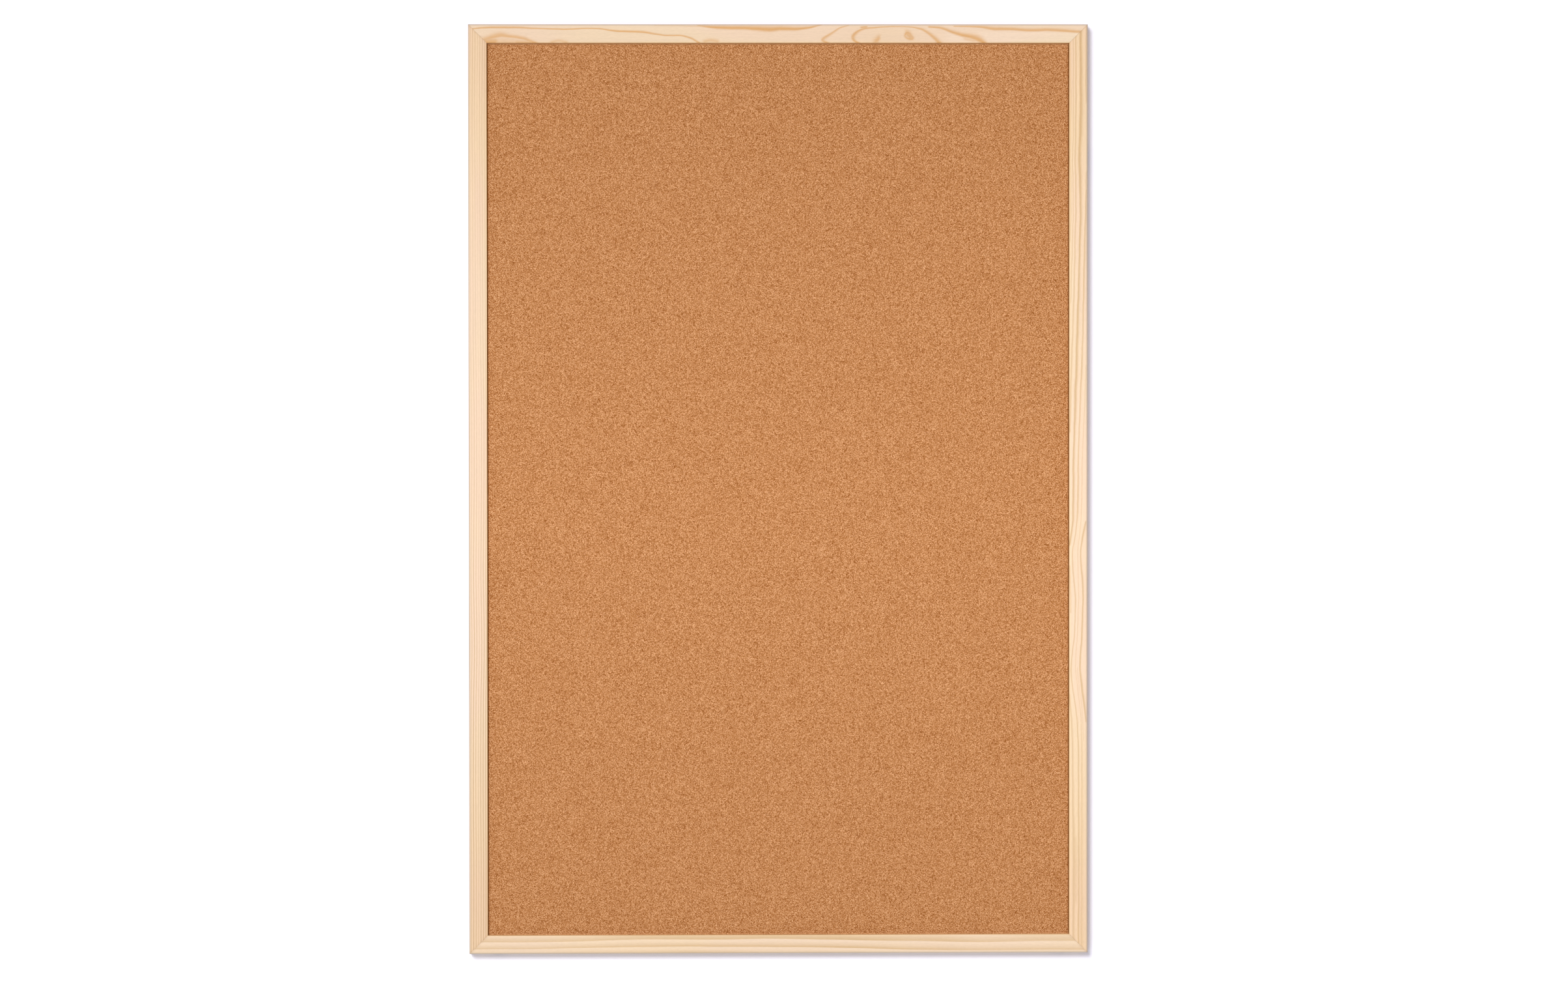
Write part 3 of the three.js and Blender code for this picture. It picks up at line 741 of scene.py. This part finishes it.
def mitred_side(name, corner, along_way, inward_way, length, step, figure):
    inward, forward = section.T
    setback = inward + MITRE_GAP / MITRE_SLOPE
    share = np.linspace(0, 1, round(length / step) + 1)[:, None]
    along = setback + share * (length - 2 * setback)
    inward, forward = (np.broadcast_to(part, along.shape) for part in (inward, forward))
    parts = ((along, along_way), (inward, inward_way), (forward, FORWARD))
    places = sum(part[..., None] * np.array(way) for part, way in parts)
    mesh = tube(name + "_wood", places + np.array(corner))
    deep = moulding_depth - forward
    end_gap = np.minimum(along - inward, length - inward - along) / MITRE_SLOPE
    # masks of painted light and shade: grey on the outer arris, a warm highlight on the inner one, brown
    # low on the lip wall
    outer_arris = (inward / ARRIS_REACH) ** 2 + (np.maximum(0, deep - OUTER_ROUND) / ARRIS_DROP) ** 2
    inner_arris = ((moulding_width - inward) / INNER_REACH) ** 2
    into_corner = INNER_LEAST + (1 - INNER_LEAST) * np.clip(deep / INNER_DROP, 0, 1)
    on_lip = forward > rebate_depth
    on_lip_wall = on_lip * (inward > moulding_width - HAIRLINE)
    store(mesh, "grain_place", np.stack([along, inward, forward], -1), "FLOAT_VECTOR")
    store(mesh, "figure", figure(along / MM, inward / MM, deep / MM))
    store(mesh, "joint", np.exp(-end_gap / GAP_SHADE))
    store(mesh, "dust", on_lip_wall * np.exp(-(forward - rebate_depth) / LIP_SHADE_REACH))
    store(mesh, "outer_arris", np.exp(-outer_arris))
    store(mesh, "inner_arris", on_lip * np.exp(-inner_arris) * into_corner)
    side = link(mesh, name + "_wood")
    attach(side, "board")
    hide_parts(name)
    return side


front = moulding_depth - frame_back
print("sides reach from", round(-frame_back / MM, 1), "to", round(front / MM, 1), "mm off the wall")

# %% The four sides
low, high = Vector(solid_box[0]), Vector(solid_box[1])
width, height = high.x - low.x, high.z - low.z
RIGHT, LEFT, UP, DOWN = (1, 0, 0), (-1, 0, 0), (0, 0, 1), (0, 0, -1)
left_foot = (low.x, frame_back, low.z)
right_foot = (high.x, frame_back, low.z)
left_top = (low.x, frame_back, high.z)
PLAIN_STEP, BENT_STEP, ARCHED_STEP = 3 * MM, 2 * MM, 1.2 * MM  # the busier the figure, the finer
side_plans = {
    "left_stile": (left_foot, UP, RIGHT, height, PLAIN_STEP, left_stile_figure),
    "right_stile": (right_foot, UP, LEFT, height, BENT_STEP, right_stile_figure),
    "bottom_rail": (left_foot, RIGHT, UP, width, PLAIN_STEP, bottom_rail_figure),
    "top_rail": (left_top, RIGHT, DOWN, width, ARCHED_STEP, top_rail_figure),
}
sides = {name: mitred_side(name, *values) for name, values in side_plans.items()}
for name, side in sides.items():
    print(name, len(side.data.polygons), "faces")

# %% [markdown]
# ## Pockets for the V nails
#
# Two V-shaped nails are pressed into the back of each mitre, and end a little below the surface. Each
# nail's own solid, swollen a little and pushed out past the back, is the cutter for its pocket, so the
# pocket always fits its nail.

# %% Cut the pockets
NAIL_ROOM = 0.15 * MM
CUTTER_OVERRUN = 1.0 * MM
BACK_REACH = 0.01 * MM  # how near the back a corner counts as on it
MERGE_REACH = 0.001 * MM  # how near each other two corners count as one
WOOD_CREASE = 35


def pocket_cutter(nail):
    mesh = nail.data.copy()
    mesh.transform(nail.matrix_world)
    shape = bmesh.new()
    shape.from_mesh(mesh)
    bmesh.ops.remove_doubles(shape, verts=shape.verts, dist=MERGE_REACH)
    bmesh.ops.recalc_face_normals(shape, faces=shape.faces)
    back = max(corner.co.y for corner in shape.verts)
    normals = [corner.normal.copy() for corner in shape.verts]
    for corner, normal in zip(shape.verts, normals):
        is_back = corner.co.y > back - BACK_REACH
        corner.co += normal * NAIL_ROOM
        if is_back:
            corner.co.y = frame_back + CUTTER_OVERRUN
    shape.to_mesh(mesh)
    shape.free()
    return mesh


v_nails = [name for name in frame["nodes"] if name.endswith("v_nail")]
cutters = {name: pocket_cutter(frame["nodes"][name]) for name in v_nails}
for side_name, side in sides.items():
    near = side_name.split("_")[0]
    for nail_name, mesh in cutters.items():
        if near not in nail_name.split("_")[:2]:
            continue
        cutter = link(mesh, "pocket_cutter")
        pocket = side.modifiers.new("pocket", "BOOLEAN")
        pocket.object = cutter
        pocket.solver = "EXACT"
        with bpy.context.temp_override(object=side, active_object=side, selected_objects=[side]):
            bpy.ops.object.modifier_apply(modifier=pocket.name)
        bpy.data.objects.remove(cutter)
    smooth(side.data, WOOD_CREASE)
print(len(cutters), "pockets cut")

# %% [markdown]
# ## Bare pine
#
# Planed and sanded softwood, with no more than a thin clear coat: a pale cream ground, tan late wood, very
# fine fibres along the grain, and a dull shine. Late wood is greyish where the rings are cut square
# across, and orange where they are cut along. Fibres, streaks and flecks are three noises, stretched
# along the plank by about 37, 42 and 5 times. They tint the wood a little, and the fibres and the late
# wood raise the surface by up to a few hundredths of a millimetre.
#
# The colour also carries a painted falloff of light: it is lightest near the middle of the board's height
# and a tenth darker at the top and the bottom, as the photograph shows it on wood and cork alike. The wood
# is warmer there too.

# %% Tones of pine
# For each side: its early wood in two tones, and its late wood
PLANKS = {
    "left_stile": ((0.725, 0.553, 0.373), (0.727, 0.536, 0.386), (0.520, 0.355, 0.203)),
    "right_stile": ((0.735, 0.563, 0.373), (0.742, 0.552, 0.391), (0.520, 0.340, 0.160)),
    "bottom_rail": ((0.744, 0.598, 0.444), (0.739, 0.592, 0.460), (0.553, 0.379, 0.195)),
    "top_rail": ((0.730, 0.604, 0.457), (0.734, 0.592, 0.473), (0.590, 0.332, 0.126)),
}
JOINT_BROWN = (0.38, 0.22, 0.10)
# painted brown shade low on the lip's inner wall, in the corner by the cork
LIP_SHADE_BROWN = (0.28, 0.14, 0.04)
# painted grey shade where the outer arris turns away from the light
ARRIS_SHADE_GREY = (0.500, 0.425, 0.340)
# painted warm highlight on the inner arris, strongest down the lip's inner wall
INNER_WARM_LIGHT = (1.05, 0.92, 0.60)
END_WARMTH = (0.985, 0.937, 0.860)
WARM_FROM = 0.35  # share of the way from mid height to the top or the bottom
JOINT_SHARE = 0.20
LIP_SHADE_SHARE = 0.85
ARRIS_SHADE_SHARE = 0.65
FIBRE_SCALE = (70, 2600, 2600)  # along the plank, inward and forward, to the metre
STREAK_SCALE = (9, 380, 380)
FLECK_SCALE = (240, 1200, 1200)
PATCH_SCALE = (7, 50, 50)
FIBRE_RISE = 0.03 * MM
# the painted light falloff: how much darker the ends get, how far it reaches and how it bends
LIGHT_FALLOFF = 0.094
LIGHT_FALLOFF_REACH = 0.41  # metres above and below the lightest height
LIGHT_FALLOFF_BEND = 1.3
LIGHTEST_BELOW = 0.02  # metres below mid height

middle_height = (low.z + high.z) / 2


def painted_light_falloff(finish):
    """Painted light falloff: 1 just below mid height, falling towards the top and the bottom."""
    away = abs(finish.part(finish.place(), "Z") - (middle_height - LIGHTEST_BELOW)) / LIGHT_FALLOFF_REACH
    return 1 - LIGHT_FALLOFF * away ** LIGHT_FALLOFF_BEND


def near_ends(finish):
    """0 around mid height, and 1 at the top and the bottom of the board."""
    away = abs(finish.part(finish.place(), "Z") - middle_height) / (height / 2)
    return away.above(WARM_FROM, 1.0)


print("tones of pine for", ", ".join(PLANKS))

# %% Pine finish
FIBRE_TINT, STREAK_TINT, FLECK_TINT = 0.14, 0.12, 0.12


def pine_finish(name, early_wood, pink_wood, late_wood):
    pine = Finish(name, {"Roughness": 0.55, "Specular IOR Level": 0.35})
    in_plank = pine.attribute("grain_place", "Vector")
    figure = pine.attribute("figure")
    fibres = pine.noise(pine.scaled(in_plank, FIBRE_SCALE), detail=3)
    streaks = pine.noise(pine.scaled(in_plank, STREAK_SCALE), detail=2)
    flecks = pine.noise(pine.scaled(in_plank, FLECK_SCALE), detail=1)
    patches = pine.noise(pine.scaled(in_plank, PATCH_SCALE), detail=1)
    early = pine.mix(patches.above(0.35, 0.65), early_wood, pink_wood)
    late = figure * (0.8 + 0.4 * streaks)
    wood = pine.mix(late, early, late_wood)
    grain = 1 + FIBRE_TINT * (fibres - 0.5) + STREAK_TINT * (streaks - 0.5) + FLECK_TINT * (flecks - 0.5)
    # grain, times the painted light falloff that darkens the wood towards the top and the bottom
    wood = pine.shade(wood, grain * painted_light_falloff(pine))
    wood = pine.mix(near_ends(pine), wood, END_WARMTH, "MULTIPLY")
    # painted warm highlight on the inner arris
    wood = pine.mix(pine.attribute("inner_arris"), wood, INNER_WARM_LIGHT, "MULTIPLY")
    # painted grey shade on the outer arris
    wood = pine.mix(ARRIS_SHADE_SHARE * pine.attribute("outer_arris"), wood, ARRIS_SHADE_GREY)
    wood = pine.mix(JOINT_SHARE * pine.attribute("joint"), wood, JOINT_BROWN)
    # painted brown shade low on the lip's inner wall
    wood = pine.mix(LIP_SHADE_SHARE * pine.attribute("dust"), wood, LIP_SHADE_BROWN)
    pine.paint({
        "Base Color": wood,
        "Roughness": 0.52 + 0.16 * fibres - 0.06 * late,
        "Normal": pine.bump(fibres + 0.5 * late, FIBRE_RISE),
    })
    return pine.material


for name, tones in PLANKS.items():
    sides[name].data.materials.clear()
    sides[name].data.materials.append(pine_finish("pine_" + name, *tones))
print("pine on", len(PLANKS), "sides")

# %% [markdown]
# ## The cork sheet
#
# Fine-grained cork is granules of up to a millimetre, pressed together with glue and sliced. A sliced
# granule shows a flat of its own brown, and here and there lies a dark crumb of bark or a pale chip. Cells
# give granules better than noise does, because each keeps one colour to its edge. Two sizes of cell are
# laid over each other, the larger ones lighter at their middles, and a third gives crumbs and chips.
#
# The sheet itself isn't quite flat, so it is a fine grid whose points are raised by up to a tenth of a
# millimetre, and pressed down where the lip holds it.

# %% Cork sheet
CORK_STEP = 3 * MM
CORK_SWELL = 0.09 * MM
HELD_REACH = 8 * MM
SHEET_CREASE = 40

opening_low = Vector((low.x + moulding_width, 0, low.z + moulding_width))
opening_high = Vector((high.x - moulding_width, 0, high.z - moulding_width))


def sheet_grid(name, box_low, box_high, step, rise):
    """A thin sheet with a gridded front, flat sides and a flat back."""
    xs = np.linspace(box_low.x, box_high.x, round((box_high.x - box_low.x) / step) + 1)
    zs = np.linspace(box_low.z, box_high.z, round((box_high.z - box_low.z) / step) + 1)
    x, z = np.meshgrid(xs, zs)
    front = np.stack([x, box_low.y - rise(x, z), z], -1).reshape(-1, 3)
    index = np.arange(x.size).reshape(x.shape)
    quads = np.stack([index[:-1, :-1], index[:-1, 1:], index[1:, 1:], index[1:, :-1]], -1)
    rim = np.concatenate([index[0, :], index[1:, -1], index[-1, -2::-1], index[-2:0:-1, 0]])
    back = front[rim]
    back[:, 1] = box_high.y
    behind = x.size + np.arange(len(rim))
    edges = np.stack([np.roll(rim, -1), rim, behind, np.roll(behind, -1)], -1)
    faces = quads.reshape(-1, 4).tolist() + edges.tolist() + [behind[::-1].tolist()]
    mesh = bpy.data.meshes.new(name)
    mesh.from_pydata(np.vstack([front, back]).tolist(), [], faces)
    face_outward(mesh)
    smooth(mesh, SHEET_CREASE)
    return link(mesh, name)


def inside_by(x, z):
    """How far a point lies inside the frame's opening."""
    from_sides = np.minimum(x - opening_low.x, opening_high.x - x)
    from_rails = np.minimum(z - opening_low.z, opening_high.z - z)
    return np.minimum(from_sides, from_rails)


def cork_rise(x, z):
    """How far the cork stands out of its plane: two long swells and a short ripple."""
    swell = np.sin(x * 61 + 2 * np.sin(z * 23)) * np.sin(z * 47 + 2 * np.sin(x * 31))
    swell = 0.5 + 0.35 * swell + 0.15 * np.sin(x * 290 + 1) * np.sin(z * 270)
    return CORK_SWELL * swell * np.clip(inside_by(x, z) / HELD_REACH, 0, 1)


cork = sheet_grid("cork_face", cork_low, cork_high, CORK_STEP, cork_rise)
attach(cork, "board")
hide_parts("cork_sheet")
print("cork grid", len(cork.data.polygons), "faces")

# %% [markdown]
# The corner where the cork goes under the lip is dark along the two stiles, most of all on the right, and
# hardly at all along the rails. Part of that is real shade. The rest is painted, so each edge gets a thin
# line with a colour and a strength of its own: painted orange-brown shade by the left stile, darker brown
# shade by the right one, and painted light of a paler cork tone by the rails, which lifts their real
# shade.
#
# The two cell sizes and the cells' middles are added up to one number, the tone. A gentle curve pulls its
# ends apart, so that a few granules are much darker or paler than the rest. A ramp turns it into colour.

# %% Cork cells
GRANULE = 0.90 * MM
SMALL_GRANULE = 0.46 * MM
CRUMB = 1.00 * MM
CORK_DARK = (0.222, 0.059, 0.003)
CORK_MID = (0.440, 0.183, 0.059)
CORK_PALE = (0.672, 0.360, 0.174)
BARK = (0.085, 0.018, 0.002)
CHIP = (0.820, 0.470, 0.250)
LARGE_SHARE, SMALL_SHARE, MIDDLE_SHARE = 0.28, 0.60, 0.25  # of each in the tone
BARK_SHARE, CHIP_SHARE = 0.9, 0.8
BARK_UNDER = (0.09, 0.13)  # cells with a lower number are bark
CHIP_OVER = (0.89, 0.93)  # and those with a higher one are chips
CRUMB_EDGE = (0.32, 0.56)  # how far from its middle a crumb fades out, in cells
SEAM_WIDTH = 0.12  # also in cells
CLOUD_SCALE = 60
CORK_BUMP = 0.06 * MM

corked = Finish("cork", {"Roughness": 0.9, "Specular IOR Level": 0.2})
place = corked.place()


def cells(size, output, feature="F1"):
    """One output of a pattern of cells: their colours, or the distance to their middles or edges."""
    settings = {"feature": feature, "voronoi_dimensions": "3D"}
    return corked.add("ShaderNodeTexVoronoi", settings, {"Vector": place, "Scale": 1 / size}, output)


def cell_number(size, part="Red"):
    """A number from 0 to 1 that each granule keeps."""
    return corked.add("ShaderNodeSeparateColor", {}, {0: cells(size, "Color")}, part)


EDGE_REACH = 1.9 * MM


def edge_line(letter, at, towards):
    """1 where the cork meets the lip, fading inward."""
    inward = (corked.part(place, letter) - at) * towards
    return 1 - inward.above(0.0, EDGE_REACH)


print("cork cells of", GRANULE / MM, "and", SMALL_GRANULE / MM, "mm, crumbs of", CRUMB / MM, "mm")

# %% Cork finish
large_grain = cell_number(GRANULE)
small_grain = cell_number(SMALL_GRANULE)
seams = cells(GRANULE, "Distance", "DISTANCE_TO_EDGE").above(0.0, SEAM_WIDTH)
middles = cells(GRANULE, "Distance")
crumbs = cell_number(CRUMB, "Green")
crumb_core = 1 - cells(CRUMB, "Distance").above(*CRUMB_EDGE)
is_bark = 1 - crumbs.above(*BARK_UNDER)
is_chip = crumbs.above(*CHIP_OVER)
clouds = corked.noise(place, CLOUD_SCALE, detail=3)
contrast = 1.15 + 0.6 * clouds
spread = contrast * (LARGE_SHARE * (large_grain - 0.5) + SMALL_SHARE * (small_grain - 0.5)
                     + MIDDLE_SHARE * (0.5 - middles))
tone = 0.5 + spread * (0.8 + 0.7 * abs(spread)) + 0.05 * (clouds - 0.5)
stops = [(0.0, CORK_DARK), (0.5, CORK_MID), (1.0, CORK_PALE)]
granules = corked.add("ShaderNodeValToRGB", {"stops": stops}, {0: tone})
granules = corked.mix(BARK_SHARE * crumb_core * is_bark, granules, BARK)
granules = corked.mix(CHIP_SHARE * crumb_core * is_chip, granules, CHIP)
# painted light falloff: the cork too is darker towards the top and the bottom
granules = corked.shade(granules, (0.94 + 0.06 * seams) * painted_light_falloff(corked))

# painted shade in the corner under the stiles' lips, and painted light that lifts the shade under the
# rails' lips
RIGHT_EDGE_SHADE = (0.118, 0.033, 0.002)
LEFT_EDGE_SHADE = (0.245, 0.072, 0.000)
RAIL_EDGE_LIGHT = (0.800, 0.440, 0.205)
# For each edge of the opening: its axis and place, the way inward, and the strength and colour of its line
# of painted shade or light
CORK_EDGES = [
    ("X", opening_low.x, 1, 0.96, LEFT_EDGE_SHADE),
    ("X", opening_high.x, -1, 0.92, RIGHT_EDGE_SHADE),
    ("Z", opening_high.z, -1, 1.00, RAIL_EDGE_LIGHT),
    ("Z", opening_low.z, 1, 0.30, RAIL_EDGE_LIGHT),
]
for letter, at, towards, strength, colour in CORK_EDGES:
    granules = corked.mix(strength * edge_line(letter, at, towards), granules, colour)
corked.paint({
    "Base Color": granules,
    "Normal": corked.bump(0.5 * large_grain + 0.3 * small_grain + 0.4 * seams, CORK_BUMP),
})
cork.data.materials.append(corked.material)
print("cork finish with", len(corked.nodes), "nodes")

# %% [markdown]
# ## The back of the board
#
# Behind the cork lies a softboard core, which can't be seen once the board is together, and a sheet of
# brown paper that closes the back. The steel pieces are plain: dull points and nails, and zinc-plated
# hangers. The bumpers are black rubber.

# %% Softboard, paper, metals and rubber
softboard = Finish("softboard", {"Roughness": 0.95})
fuzz = softboard.noise(softboard.place(), 900, detail=4, roughness=0.7)
softboard.paint({
    "Base Color": softboard.mix(fuzz, (0.30, 0.21, 0.12), (0.52, 0.40, 0.26)),
    "Normal": softboard.bump(fuzz, 0.2 * MM),
})

kraft = Finish("kraft_paper", {"Roughness": 0.8, "Specular IOR Level": 0.3})
pulp = kraft.noise(kraft.scaled(kraft.place(), (900, 900, 260)), detail=4, roughness=0.65)
cockle = kraft.noise(kraft.scaled(kraft.place(), (7, 7, 12)), detail=2)
creases = 1 - abs(kraft.noise(kraft.scaled(kraft.place(), (5, 5, 9)), detail=1) - 0.5).above(0.0, 0.02)
flecks = kraft.noise(kraft.scaled(kraft.place(), (1500, 1500, 400)), detail=2).above(0.66, 0.72)
paper = kraft.mix(pulp, (0.33, 0.205, 0.105), (0.47, 0.315, 0.175))
paper = kraft.mix(0.22 * flecks, paper, (0.62, 0.47, 0.30))
kraft.paint({
    "Base Color": kraft.shade(paper, 0.94 + 0.12 * cockle),
    "Roughness": 0.72 + 0.14 * pulp,
    "Normal": kraft.bump(0.05 * pulp + cockle + 0.12 * creases, 1.5 * MM),
})

nail_steel = Finish("nail_steel", {"Metallic": 1.0})
scuffs = nail_steel.noise(nail_steel.place(), 700, detail=4)
nail_steel.paint({
    "Base Color": nail_steel.mix(scuffs, (0.28, 0.29, 0.305), (0.50, 0.51, 0.52)),
    "Roughness": 0.30 + 0.25 * scuffs,
})

zinc = Finish("zinc_plate", {"Metallic": 1.0})
haze = zinc.noise(zinc.place(), 450, detail=4)
zinc.paint({
    "Base Color": zinc.mix(haze, (0.55, 0.565, 0.58), (0.74, 0.75, 0.755)),
    "Roughness": 0.22 + 0.22 * haze,
    "Normal": zinc.bump(haze, 0.02 * MM),
})

rubber = Finish("rubber", {"Roughness": 0.7})
bloom = rubber.noise(rubber.place(), 600, detail=3)
rubber.paint({
    "Base Color": rubber.mix(bloom, (0.022, 0.022, 0.023), (0.05, 0.05, 0.051)),
    "Roughness": 0.6 + 0.2 * bloom,
})
FINISHES = {
    "softboard": softboard,
    "kraft_paper": kraft,
    "nail_steel": nail_steel,
    "zinc_plate": zinc,
    "rubber": rubber,
}
print("finishes:", ", ".join(FINISHES))

# %% [markdown]
# ## Small hardware
#
# Nothing stamped, turned or moulded has a truly sharp edge. So each strap, screw, point, nail and bumper
# is made again from its solid, with flat faces joined into one and every sharp edge broken by a fine
# bevel, which catches the light as the real edge does.
#
# The rings are bent from round wire, and the solid draws them with few sides. They are made again as a
# smooth tube along the same path: a straight bar in the strap's loop, two tight bends and a half circle.

# %% Eased pieces
slots = {entry["node"]: entry["material_slot"] for entry in frame["record"]["subparts"]}
# How wide the broken edge of each kind of piece is
EASED = {
    "strap": 0.12 * MM,
    "screw": 0.07 * MM,
    "nail": 0.06 * MM,
    "point": 0.07 * MM,
    "bumper": 0.25 * MM,
}
FLAT_UP_TO = 1  # degrees between two faces that count as one
SHARP_FROM = 38  # degrees from which an edge is broken
EASED_CREASE = 42
BEVEL = {"segments": 2, "profile": 0.6, "affect": "EDGES", "clamp_overlap": True}


def eased_kind(name):
    """The kind of small piece that a node's name tells, or nothing."""
    return next((kind for kind in EASED if kind in name.split("_")), None)


def eased_piece(name, bevel):
    solid = frame["nodes"][name]
    mesh = solid.data.copy()
    mesh.name = name + "_eased"
    mesh.transform(solid.matrix_world)
    shape = bmesh.new()
    shape.from_mesh(mesh)
    bmesh.ops.remove_doubles(shape, verts=shape.verts, dist=MERGE_REACH)
    flat = math.radians(FLAT_UP_TO)
    bmesh.ops.dissolve_limit(shape, verts=shape.verts, edges=shape.edges, angle_limit=flat)
    folds = [edge for edge in shape.edges if len(edge.link_faces) == 2]
    sharp = [edge for edge in folds if edge.calc_face_angle() > math.radians(SHARP_FROM)]
    bmesh.ops.bevel(shape, geom=sharp, offset=bevel, **BEVEL)
    bmesh.ops.recalc_face_normals(shape, faces=shape.faces)
    shape.to_mesh(mesh)
    shape.free()
    smooth(mesh, EASED_CREASE)
    piece = link(mesh, name + "_eased")
    piece.data.materials.clear()
    piece.data.materials.append(FINISHES[slots[name]].material)
    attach(piece, "board")
    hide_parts(name)


eased = [name for name in frame["nodes"] if eased_kind(name)]
for name in eased:
    eased_piece(name, EASED[eased_kind(name)])
print(len(eased), "small pieces with broken edges")

# %% Rings of bent wire
RING_CORNER = 2.2 * MM
RING_SPLIT = 0.4 * MM
WIRE_EASE = 0.15 * MM  # how much thinner the wire is at its two cut ends
WIRE_SIDES = 24
BAR_STEP = 1.0 * MM
ARC_STEPS = 48
CORNER_STEPS = 16
WIRE_CREASE = 50
QUARTER = math.pi / 2


def ring_path(ring_low, ring_high, wire):
    """The wire's middle line as (across, up), from one side of the split to the other."""
    centre = (ring_low.x + ring_high.x) / 2
    half = (ring_high.x - ring_low.x - wire) / 2
    bar = ring_low.z + wire / 2
    bend = half - RING_CORNER
    shoulder = bar + RING_CORNER
    return centre, np.vstack([
        straight((RING_SPLIT / 2, bar), (bend, bar), BAR_STEP),
        arc((bend, shoulder), RING_CORNER, -QUARTER, 0, CORNER_STEPS)[:-1],
        arc((0, shoulder), half, 0, 2 * QUARTER, ARC_STEPS)[:-1],
        arc((-bend, shoulder), RING_CORNER, 2 * QUARTER, 3 * QUARTER, CORNER_STEPS)[:-1],
        straight((-bend, bar), (-RING_SPLIT / 2, bar), BAR_STEP),
        [(-RING_SPLIT / 2, bar)],
    ])


def wire_ring(name, body):
    ring_low, ring_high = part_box(name)
    wire = ring_high.y - ring_low.y
    depth = (ring_low.y + ring_high.y) / 2
    centre, path = ring_path(ring_low, ring_high, wire)
    ways = np.gradient(path, axis=0)
    ways /= np.hypot(*ways.T)[:, None]
    across = np.column_stack([ways[:, 1], -ways[:, 0]])
    turns = np.linspace(0, 4 * QUARTER, WIRE_SIDES, endpoint=False)
    radii = np.full((len(path), 1), wire / 2)
    radii[[0, -1]] -= WIRE_EASE
    x = centre + path[:, :1] + across[:, :1] * radii * np.cos(turns)
    z = path[:, 1:] + across[:, 1:] * radii * np.cos(turns)
    y = depth + radii * np.sin(turns)
    mesh = tube(name + "_wire", np.stack([x, y, z], -1))
    smooth(mesh, WIRE_CREASE)
    ring = link(mesh, name + "_wire")
    ring.data.materials.append(zinc.material)
    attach(ring, body)
    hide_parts(name)
    return ring


for hand in ("left", "right"):
    ring = wire_ring(f"{hand}_hanger_ring", f"{hand}_ring")
    print(hand, "ring", len(ring.data.polygons), "faces")

# %% Core and paper
for name in ("softboard_core", "backing_paper"):
    solid = frame["nodes"][name]
    solid.data.materials.clear()
    solid.data.materials.append(FINISHES[slots[name]].material)
print("core and paper finished")
